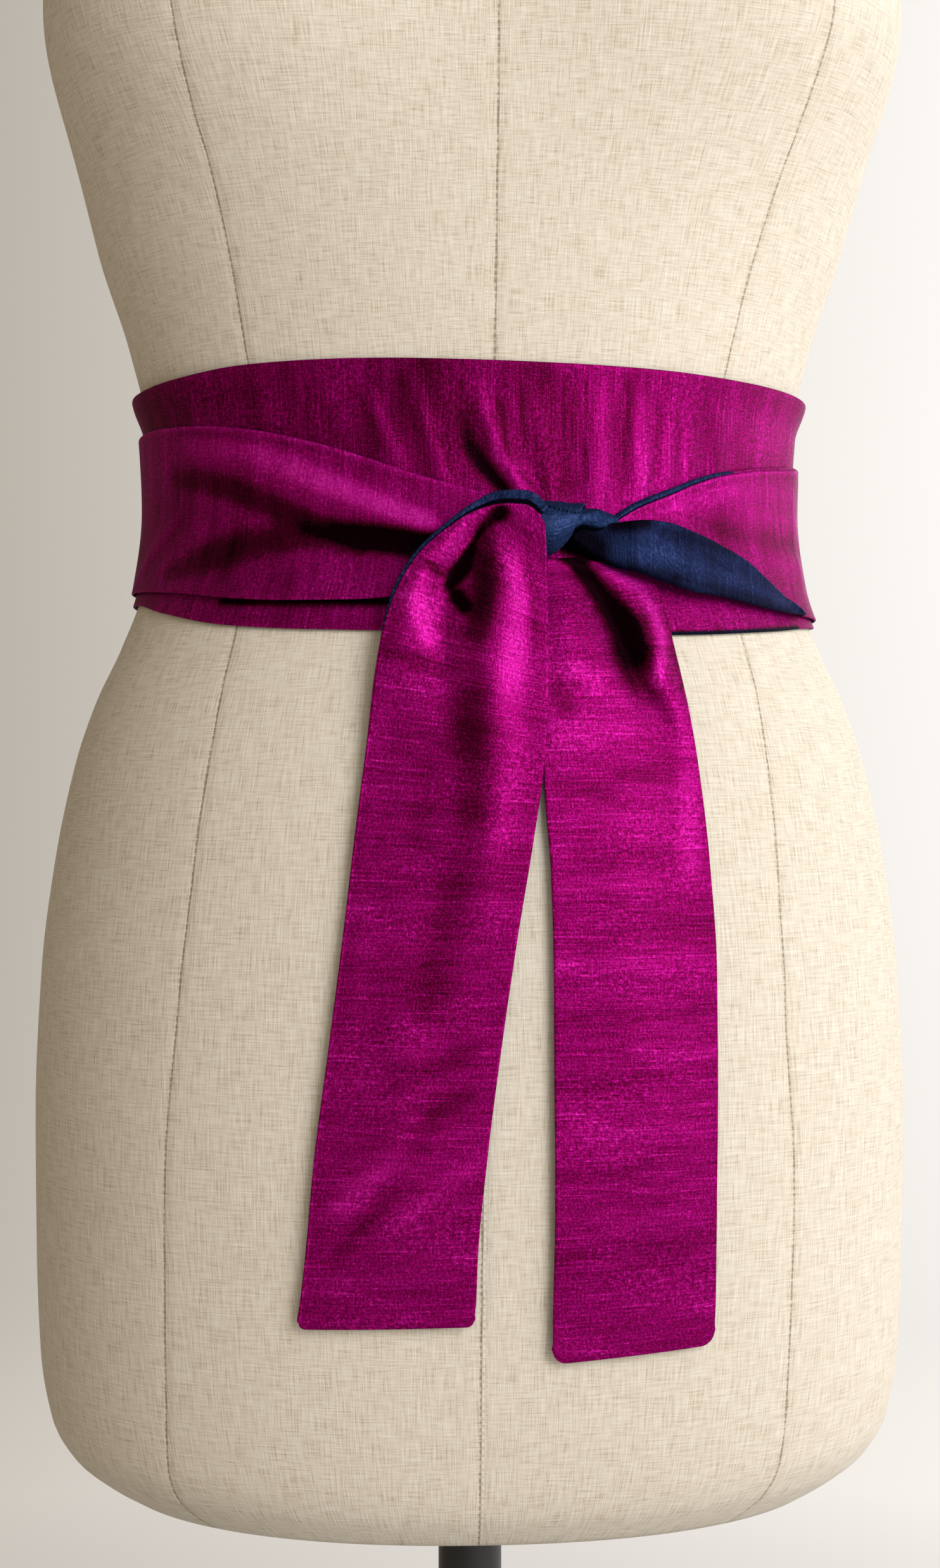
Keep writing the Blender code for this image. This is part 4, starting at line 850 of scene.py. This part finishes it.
# the roll at the right tie's top: its painted shadow where it meets the face, its rise over its width, its
# width
TOP_ROLL_SHADOW = -0.45
TOP_ROLL_RISE = 0.28
TOP_ROLL = named_rows(
    "at wide",
    (16.6, 0), (22, 0.2), (24.5, 1.7), (30, 2), (38, 1.7), (45, 1.1), (51, 0.5), (56, 0), (180, 0))
right_turn = np.linspace(TIE_RIGHT[0]["at"], TIE_RIGHT[-1]["at"] + BACK_OVERLAP, 281)
panel = np.linspace(0.0, 1.0, 41)
FOLD_STEPS = 12
FLAP_STEPS = 16


def tie_right_row(angle):
    """One section from top edge to flap edge: the panel leans out, the fold turns, the flap rises."""
    row = {key: float(eased(TIE_RIGHT, key, angle)) for key in TIE_RIGHT[0]}
    heading = np.radians(-90.0 + row["turn"] * (np.arange(FOLD_STEPS) + 0.5) / FOLD_STEPS)
    heading = np.append(heading, np.full(FLAP_STEPS, math.radians(-90.0 + row["turn"])))
    length = np.append(np.full(FOLD_STEPS, FOLD_LENGTH / FOLD_STEPS),
                       np.full(FLAP_STEPS, row["flap"] / FLAP_STEPS))
    up = np.cumsum(length * np.sin(heading))
    out = np.cumsum(length * np.cos(heading))
    foot = row["fold"] - up.min()
    panel_up = row["top"] + (foot - row["top"]) * panel
    panel_out = row["top_out"] + (row["fold_out"] - row["top_out"]) * smooth_step(panel)
    panel_out = panel_out + gathers(panel, row["gather"])
    return np.append(panel_up, foot + up), np.append(panel_out, panel_out[-1] + out)


right_height, right_out = np.array([tie_right_row(a) for a in right_turn]).transpose(1, 0, 2)
is_flap = np.arange(right_height.shape[1])[None, :] >= len(panel) + FOLD_STEPS // 2
# each fold's rise, and its painted highlight and shade on the panel or the flap
panel_rise, panel_light_and_shade = creases(TIE_RIGHT_CREASES, right_turn[:, None], right_height, ARC)
flap_rise, flap_light_and_shade = creases(FLAP_CREASES, right_turn[:, None], right_height, ARC)
right_shade = np.where(is_flap, flap_light_and_shade, panel_light_and_shade)
right_out = right_out + np.where(is_flap, flap_rise, panel_rise)
right_out = right_out - (BACK_TUCK + BACK_BELOW) * bell((right_turn[:, None] - 180.0) / BACK_REACH)
# the navy back rolls over the panel's top edge near the knot
roll_width = np.maximum(eased(TOP_ROLL, "wide", right_turn), ROLL_LEAST)[:, None]
roll_height = right_height[:, :1] + roll_width * ROLL_STEP
roll_out = right_out[:, :1] + TOP_ROLL_RISE * roll_width * np.sin(math.pi * ROLL_STEP)
has_roll = smooth_step((roll_width - ROLL_LEAST) / ROLL_BLEND)
right_height = np.concatenate([roll_height, right_height], axis=1)
right_out = np.concatenate([roll_out, right_out], axis=1)
right_shade[:, :2] += EDGE_LIGHT
# painted shadow in the gap between the roll and the plum face
roll_shadow = np.where(ROLL_STEP < 0.3, TOP_ROLL_SHADOW, 0.0) * has_roll
right_shade = np.concatenate([roll_shadow, right_shade], axis=1)
right_back = np.full(right_height.shape, -1.0)
right_back[:, :ROLL_COLUMNS] = 2.0 * has_roll - 1.0
tie_right, tie_right_size = cloth_shell(
    "tie_right_plum", form_point(right_turn[:, None], right_height, right_out), right_shade,
    right_back, tie_silk)
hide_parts("tie_right")

# Knot. The bunched strip inside the knot, mostly its navy back, and the single flat turn of navy
# cloth over it, stitched along its upper edge and pulled tight.
KNOT_CORE = named_rows(
    "at up out half_up half_out",
    (17.2, 1043.5, 9.1, 7.8, 5.3), (20, 1043.4, 9.2, 8.4, 5.8), (24, 1043.4, 9.3, 8.2, 6.2),
    (28, 1044.4, 9.4, 7, 6.2), (31, 1045.6, 9.6, 5.4, 5.6), (35, 1047, 10, 4.2, 4.4),
    (40, 1046.6, 10.6, 4.7, 3.6), (45, 1046.2, 10, 3.6, 3), (48.5, 1046.6, 9.2, 2.2, 1.9))
# the turn's left edge, place across in mm at its top and at its foot
WRAP_TOP_LEFT = 18.4
WRAP_FOOT_LEFT = 20.8
WRAP_GAP = 0.55
WRAP_START = -28.0
WRAP_END = 202.0


def front_point(x, height, out):
    """Point in metres in front of the form at a place across it, moved out towards the viewer."""
    x, height, out = np.broadcast_arrays(x, height, out)
    half = eased(FORM, "half", height)
    front = eased(FORM, "front", height)
    power = eased(FORM, "square", height)
    depth = front * (1.0 - (np.abs(x) / half) ** power) ** (1.0 / power)
    return MM * np.stack([x, -(depth + out), height], axis=-1)


def knot_point(x, turn, extra):
    """Point on the bunched cloth's surface: degrees run from its top over its front."""
    up = eased(KNOT_CORE, "up", x)
    out = eased(KNOT_CORE, "out", x)
    half_up = eased(KNOT_CORE, "half_up", x) + extra
    half_out = eased(KNOT_CORE, "half_out", x) + extra
    angle = np.radians(turn)
    base = front_point(np.broadcast_arrays(x, turn)[0], up, out)
    base[..., 1] -= MM * half_out * np.sin(angle)
    base[..., 2] += MM * half_up * np.cos(angle)
    return base


# how far the bunch stays inside its solid in mm, its map's width in metres, and how deep the painted
# shade is on its underside, between two turns in degrees and beyond a place across
CORE_SHRINK = -0.2
CORE_ROUND = 0.04
CORE_SHADE = 0.7
CORE_SHADE_FROM = 112.0
CORE_SHADE_TO = 200.0
CORE_SHADE_BEYOND = 19.0
knot_silk = silk("navy silk of the knot", 5.1, 0.6, NAVY_GLINT)
core_x = np.linspace(KNOT_CORE[0]["at"], KNOT_CORE[-1]["at"], 61)[:, None]
core_turn = np.arange(64)[None, :] * FULL_TURN / 64.0
core_grid = knot_point(core_x, core_turn, CORE_SHRINK)
core_index = np.arange(core_grid.shape[0] * core_grid.shape[1]).reshape(core_grid.shape[:2])
core_faces = ring_faces(*core_grid.shape[:2], True)[:, ::-1].tolist()
core_faces += [core_index[0].tolist(), core_index[-1][::-1].tolist()]
core = make_object("knot_bunch", core_grid.reshape(-1, 3), core_faces, [knot_silk])
# painted shade on the bunch's underside, where the knot's cloth turns in under it
underside_shade = smooth_step((core_turn - CORE_SHADE_FROM) / 25.0) * smooth_step((CORE_SHADE_TO - core_turn) / 20.0)
underside_shade = underside_shade * smooth_step((core_x - CORE_SHADE_BEYOND) / 4.0)
# painted light and shade of small slanting folds over the bunch
core_fold_shading = 0.05 * np.sin(np.radians(core_turn * 5.0 + core_x * 40.0))
put_values(core, "shade", core_fold_shading - CORE_SHADE * underside_shade)
put_values(core, "back", np.full(core_grid.shape[:2], 1.0))
put_map(core, np.broadcast_to(core_turn / FULL_TURN * CORE_ROUND, core_grid.shape[:2]),
        np.broadcast_to(core_x * MM, core_grid.shape[:2]), CORE_ROUND)
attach(core, "root")
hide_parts("knot_core")

# the turn's right edge: place across in mm for each share of the way from its top to its foot
WRAP_RIGHT_EDGE = named_rows(
    "at x",
    (0, 36.2), (0.2, 35.4), (0.33, 34.2), (0.47, 32.8), (0.6, 31.3), (0.67, 30.5), (0.73, 28.2),
    (0.8, 24), (0.87, 21.8), (1, 21.6))
wrap_share = np.linspace(0.0, 1.0, 121)[:, None]
wrap_across = np.linspace(0.0, 1.0, 81)[None, :]
wrap_turn = WRAP_START + (WRAP_END - WRAP_START) * wrap_share
wrap_left = WRAP_TOP_LEFT + (WRAP_FOOT_LEFT - WRAP_TOP_LEFT) * wrap_share
wrap_right = eased(WRAP_RIGHT_EDGE, "x", wrap_share)
wrap_x = wrap_left + (wrap_right - wrap_left) * wrap_across
# the stitches run aslant below the upper edge; the flat face gets a painted highlight and the foot
# painted shade
STITCHES_AT = 0.27
STITCHES_SLANT = 0.16
STITCHES_WIDE = 0.012
STITCHES_APART = 60.0
WRAP_TONE = 0.06
WRAP_LIT_AT = 0.45
WRAP_SHADE_FROM = 0.84
stitch_row = bell((wrap_share - STITCHES_AT - STITCHES_SLANT * wrap_across) / STITCHES_WIDE)
stitches = stitch_row * (np.sin(wrap_across * STITCHES_APART) > -0.2)
wrap_shade = WRAP_TONE + 0.05 * bell((wrap_share - WRAP_LIT_AT) / 0.2) - 0.5 * stitches
wrap_shade = wrap_shade - 0.5 * smooth_step((wrap_share - WRAP_SHADE_FROM) / 0.12)
wrap, wrap_size = cloth_shell("knot_turn", knot_point(wrap_x, wrap_turn, WRAP_GAP + CAD_WALL / 2.0),
                              wrap_shade, 1.0, knot_silk)
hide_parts("knot_wrap")

# Tails. The two ends of the strip hang from the knot over the front of the form. The left one falls
# over its own fold with a deep crease beside it; the right one is longer and has one long ridge.
TAIL_LEFT = named_rows(
    "at left_x left_z right_x right_z left_out right_out",
    (0, 18.8, 1047.2, 20.5, 1044, 18.8, 19), (0.03, 13.5, 1050.8, 20.6, 1040.5, 17.6, 18.9),
    (0.06, 6, 1051.2, 20.7, 1036, 16.8, 18.3), (0.09, -3, 1049, 20.8, 1030.5, 15.6, 16),
    (0.13, -13.5, 1042.6, 20.9, 1023, 15, 14.2), (0.17, -24.5, 1032.5, 20.9, 1012.5, 13.5, 12.8),
    (0.22, -32, 1019.5, 20.8, 1001, 11.2, 11.2), (0.27, -36.5, 1005.5, 20.6, 990, 9.2, 10),
    (0.33, -39.5, 988, 20.2, 977, 7.5, 8.6), (0.4, -42, 966, 18.8, 958, 5.5, 6.6),
    (0.5, -46, 935, 14.8, 931.5, 4.4, 4.6), (0.61, -50.5, 897, 9, 897.5, 4, 4),
    (0.73, -55.5, 858, 3, 857, 4, 4), (0.84, -60.2, 822, -1.5, 821.5, 4, 4),
    (0.94, -63.5, 786, -4.6, 787.5, 4, 4), (1, -66.3, 762.4, -5.3, 764, 4, 4))
TAIL_LEFT_FOLDS = named_rows(
    "start end start_at end_at rise wide",
    (0.05, 0.36, 0.05, 0.1, 1.4, 0.1), (0.05, 0.36, 0.12, 0.5, -4.2, 0.13),
    (0.08, 0.6, 0.55, 0.74, 2.6, 0.16), (0.55, 0.95, 0.25, 0.6, 1.2, 0.2))
TAIL_RIGHT = named_rows(
    "at left_x left_z right_x right_z left_out right_out",
    (0, 22.2, 1032.2, 33, 1033.2, 8, 6.5), (0.03, 21.9, 1027, 46, 1030.6, 8, 5.8),
    (0.06, 21.6, 1021, 60, 1026.5, 7.8, 5.4), (0.11, 21.2, 1011, 65.2, 1014, 7.4, 5.6),
    (0.16, 20.8, 1000, 67.5, 1001.5, 6.8, 5.6), (0.21, 20.2, 987, 70.2, 987.5, 6, 5.4),
    (0.28, 19.4, 970, 73.2, 970, 5, 4.8), (0.36, 20, 949, 76.2, 948.5, 4, 4.2),
    (0.46, 21.9, 921, 78.7, 920.5, 4, 4), (0.57, 22.6, 890, 80.4, 889.5, 4, 4),
    (0.7, 22.8, 851, 80.6, 851, 4, 4), (0.88, 23.1, 800, 80.2, 800.5, 4, 4),
    (1, 22.2, 750.2, 80.2, 754.3, 4, 4))
TAIL_RIGHT_FOLDS = named_rows(
    "start end start_at end_at rise wide",
    (0, 0.3, 0.3, 0.86, -3.2, 0.12), (0, 0.34, 0.62, 1.02, 3.4, 0.14), (0.02, 0.22, 0.12, 0.3, 1.6, 0.16),
    (0.3, 0.62, 0.6, 0.35, 1, 0.2), (0.6, 0.98, 0.55, 0.75, 0.9, 0.22))
tail_silk = silk("plum silk of the tails", 8.4, 0.9)
# folds of the left tail, each with its painted highlight (above zero) or painted shade (below zero)
TAIL_LEFT_CREASES = [
    (-7, 984, -8.5, 972, -0.4, 7, -0.18), (-4, 968, -6, 942, -0.5, 7.5, -0.2),
    (-26, 985, -20, 975, 0.2, 4, 0.06), (-37, 991, -41, 962, 0.3, 4, 0.08),
    (-22, 955, -26, 935, -0.3, 5, -0.08), (9.5, 970, 1.5, 930, 0.2, 3.5, 0.08),
    (-13, 915, -21.5, 880, -0.4, 8, -0.17), (-43, 905, -46, 866, 0.2, 4, 0.06),
    (-33.5, 848, -10, 858, -0.4, 4.5, -0.14), (-52, 806, -33, 822, 0.5, 4.5, 0.2),
    (-33, 800, -4.5, 821, 0.4, 4, 0.13), (-52, 790, -36, 808, -0.3, 3, -0.12),
    (-34, 818, -20, 836, -0.3, 3.6, -0.08), (-20, 838, -9.5, 843, -0.3, 4.5, -0.14),
    (-52, 780, -14, 781, 0.2, 3, 0.06), (-30, 868, -24, 858, 0.2, 4, 0.05),
    (-41, 950, -44, 925, 0.1, 3, 0.04), (14.5, 1040, 16.5, 1000, 0, 1.4, -0.08),
]
# bent folds of the left tail: painted shadow below the knot and in the deep crease, painted highlight on the
# ridges
TAIL_LEFT_BENT_CREASES = [
    [(5.2, 1048.4, -0.1, 3.2, -0.6), (-0.8, 1044.3, -0.2, 2, -0.34), (-3.9, 1038.8, -0.4, 1.3, -0.4),
     (-6.2, 1033.8, -0.6, 2.1, -0.7), (-8.4, 1029, -0.8, 3, -0.9), (-11, 1025.6, -0.8, 3.2, -0.9),
     (-13.2, 1022.6, -0.5, 2.4, -0.6)],
    [(-10.2, 1018.4, -0.4, 2.8, -0.75), (-8, 1014.4, -0.4, 2.4, -0.6)],
    [(-0.5, 1042, 0, 3.5, -0.22), (-0.6, 1030, -0.2, 4.8, -0.4), (-1, 1019, -0.3, 5.2, -0.46),
     (-3, 1008, -0.3, 4.8, -0.34), (-5, 1001, -0.1, 4, -0.18)],
    [(6, 1036.5, 0, 2.6, 0.05), (8.8, 1028, 0.3, 3, 0.26), (11.2, 1018, 0.4, 4, 0.32),
     (9.9, 1007, 0.3, 4.6, 0.26), (8.3, 993, 0.3, 5.4, 0.32), (6.5, 978, 0.3, 5.4, 0.14)],
    [(-8, 1000, 0, 4, 0.12), (-9, 986, 0, 4, 0.1)],
    [(-8.2, 1042, 0.2, 1.8, 0.16), (-12.3, 1037, 0.3, 2.6, 0.26), (-15.8, 1031.8, 0.2, 2, 0.12)],
    [(-21, 1030, -0.2, 1.8, -0.26), (-16.5, 1026.8, -0.2, 2, -0.3)],
    [(-22.5, 1024, 0.2, 3.4, 0.1), (-25.7, 1017.5, 0.4, 4.8, 0.24), (-23.2, 1010.2, 0.4, 4.8, 0.28),
     (-20.9, 1003.4, 0.3, 3.4, 0.3)],
    [(-38.5, 999.5, -0.2, 3, -0.14), (-26.5, 995.5, -0.3, 3.4, -0.22), (-16.6, 992.6, -0.2, 3.4, -0.18),
     (-6.1, 994.5, 0, 3, -0.06)],
]
# folds of the right tail with their painted highlight and shade; the second row is painted shadow under the
# knot
TAIL_RIGHT_CREASES = [
    (30, 1024, 34, 1000, 0, 6, -0.06), (25.5, 1034.6, 39, 1033.5, 0, 1.9, -0.8),
    (26, 969, 47.5, 969, 0.3, 5, 0.1), (47.5, 956, 65, 956, -0.3, 4, -0.12),
    (24, 952, 40, 950, -0.2, 3, -0.07),
    (28, 941, 60, 939, 0.2, 3, 0.07), (30, 928, 66, 927, -0.2, 2.6, -0.06),
    (24, 914, 56, 916, 0.2, 3.2, 0.06), (44, 901, 78, 902, -0.2, 2.6, -0.06),
    (26, 888, 62, 886, 0.2, 3, 0.07), (30, 871, 78, 872, -0.2, 3, -0.07),
    (52, 858, 78, 857, 0.2, 3.4, 0.07), (24, 846, 60, 848, -0.2, 3, -0.06),
    (30, 832, 74, 830, 0.2, 3.4, 0.06), (26, 815, 56, 817, -0.2, 2.8, -0.06),
    (40, 800, 78, 801, 0.2, 3.2, 0.05), (24, 786, 70, 788, -0.2, 2.6, -0.06),
    (26, 1012, 28.5, 992, 0.2, 3.4, 0.06), (23, 781, 79, 785, -0.15, 0.8, -0.1),
]
# bent folds of the right tail: the long valley's painted shadow, the ridge's painted highlight, and fainter
# painted shade and highlight beside them
TAIL_RIGHT_BENT_CREASES = [
    [(28.5, 1034.5, 0, 3, -0.6), (32.6, 1031.5, -0.3, 3, -0.62), (38.4, 1024, -0.5, 3.8, -0.62),
     (45.2, 1015.4, -0.7, 5.2, -0.64), (50.4, 1007, -0.8, 6.6, -0.7), (52.2, 1000, -0.8, 7.2, -0.68),
     (52.6, 994, -0.6, 5.8, -0.5), (53.6, 989, -0.3, 4.4, -0.32), (57.1, 983.6, -0.2, 4, -0.16)],
    [(39.5, 1031.5, 0.2, 1.6, 0.12), (46, 1028.4, 0.4, 2.2, 0.26), (55.5, 1022.5, 0.4, 2.4, 0.28),
     (60.5, 1013.3, 0.4, 2.4, 0.34), (62.6, 1005.2, 0.4, 2.2, 0.36), (62.4, 997.5, 0.4, 2.2, 0.34),
     (60.6, 988, 0.3, 2.2, 0.24)],
    [(65, 1020.2, 0, 1.8, -0.12), (67.8, 1006.4, 0, 1.8, -0.14), (70.5, 985.9, 0, 2, -0.14),
     (72.6, 970, 0, 2, -0.06)],
    [(31.5, 992.5, 0.2, 3.4, 0.14), (38.5, 986.6, 0.2, 3.8, 0.16)],
    [(24.5, 986, 0, 3, -0.14), (27, 979, -0.1, 4, -0.16)],
    [(71, 980, 0.2, 4, 0.1), (71.5, 925, 0.2, 5, 0.16)],
]
# the navy back shows beyond the left tail's upper edge, widest beside the knot
LEFT_ROLL = named_rows(
    "at wide",
    (0, 4.2), (0.03, 5.4), (0.065, 4.8), (0.1, 2.6), (0.15, 1.5), (0.21, 1.2), (0.26, 0.5), (0.29, 0),
    (1, 0))
# painted shadow in the gap under the navy roll
LEFT_ROLL_SHADOW = -0.7
# radius of each tail's lower corners in mm
LEFT_CORNER = 2.5
RIGHT_CORNER = 5.0


def hanging_tail(table, folds, corner, rows=241, columns=61):
    """Straight sections from one long edge to the other, raised by the folds that cross them, with
    both lower corners rounded. Returns places across, up and out, in mm."""
    along = np.linspace(0.0, 1.0, rows)[:, None]
    across = (0.5 - 0.5 * np.cos(math.pi * np.linspace(0.0, 1.0, columns)))[None, :]
    across = 0.5 * across + 0.5 * np.linspace(0.0, 1.0, columns)[None, :]
    x, height, out = (
        eased(table, "left_" + key, along)
        + (eased(table, "right_" + key, along) - eased(table, "left_" + key, along)) * across
        for key in ("x", "z", "out"))
    rise = np.zeros(x.shape)
    for fold in folds:
        share = np.clip((along - fold["start"]) / (fold["end"] - fold["start"]), 0.0, 1.0)
        centre = fold["start_at"] + (fold["end_at"] - fold["start_at"]) * share
        rise += fold["rise"] * np.sin(math.pi * share) * bell((across - centre) / fold["wide"])
    missing = np.clip(1.0 - np.minimum(x[-1] - x[-1, 0], x[-1, -1] - x[-1]) / corner, 0.0, 1.0)
    lift = corner * (1.0 - np.sqrt(1.0 - missing ** 2))
    height = height + lift * np.clip(1.0 - (height - height[-1]) / (3.0 * corner), 0.0, 1.0)
    return x, height, out + rise


for side_name, table, folds, corner, lines, bent_lines in (
        ("left", TAIL_LEFT, TAIL_LEFT_FOLDS, LEFT_CORNER, TAIL_LEFT_CREASES, TAIL_LEFT_BENT_CREASES),
        ("right", TAIL_RIGHT, TAIL_RIGHT_FOLDS, RIGHT_CORNER, TAIL_RIGHT_CREASES, TAIL_RIGHT_BENT_CREASES)):
    x, height, out = hanging_tail(table, folds, corner)
    fold_rise, shade = all_creases(lines, bent_lines, x, height, 1.0)
    out = out + fold_rise
    back = np.full(x.shape, -1.0)
    if side_name == "left":
        along = np.linspace(0.0, 1.0, len(x))
        wide = np.maximum(eased(LEFT_ROLL, "wide", along), ROLL_LEAST)[:, None]
        way_x, way_z = np.gradient(x[:, 0])[:, None], np.gradient(height[:, 0])[:, None]
        size = np.hypot(way_x, way_z)
        has_roll = smooth_step((wide - ROLL_LEAST) / ROLL_BLEND)
        edge_z = height[:, :1]
        x = np.concatenate([x[:, :1] + way_z / size * wide * ROLL_STEP, x], axis=1)
        height = np.concatenate([edge_z - way_x / size * wide * ROLL_STEP, height], axis=1)
        out = np.concatenate([out[:, :1] - 0.8 * has_roll * smooth_step(ROLL_STEP * 4.0), out], axis=1)
        # the edge beside the roll catches the light unevenly
        shade[:, :2] += 0.12 + 0.16 * np.sin(edge_z * 2.1) * np.sin(edge_z * 0.73)
        # painted shadow in the gap under the roll, beside the plum edge
        shade = np.concatenate([np.where(ROLL_STEP < 0.4, LEFT_ROLL_SHADOW, 0.0) * has_roll, shade], axis=1)
        back = np.concatenate([(2.0 * has_roll - 1.0) * np.ones_like(ROLL_STEP), back], axis=1)
    tail, tail_size = cloth_shell(f"tail_{side_name}_plum", front_point(x, height, out)[:, ::-1],
                                  shade[:, ::-1], back[:, ::-1], tail_silk)
    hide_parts(f"tail_{side_name}")
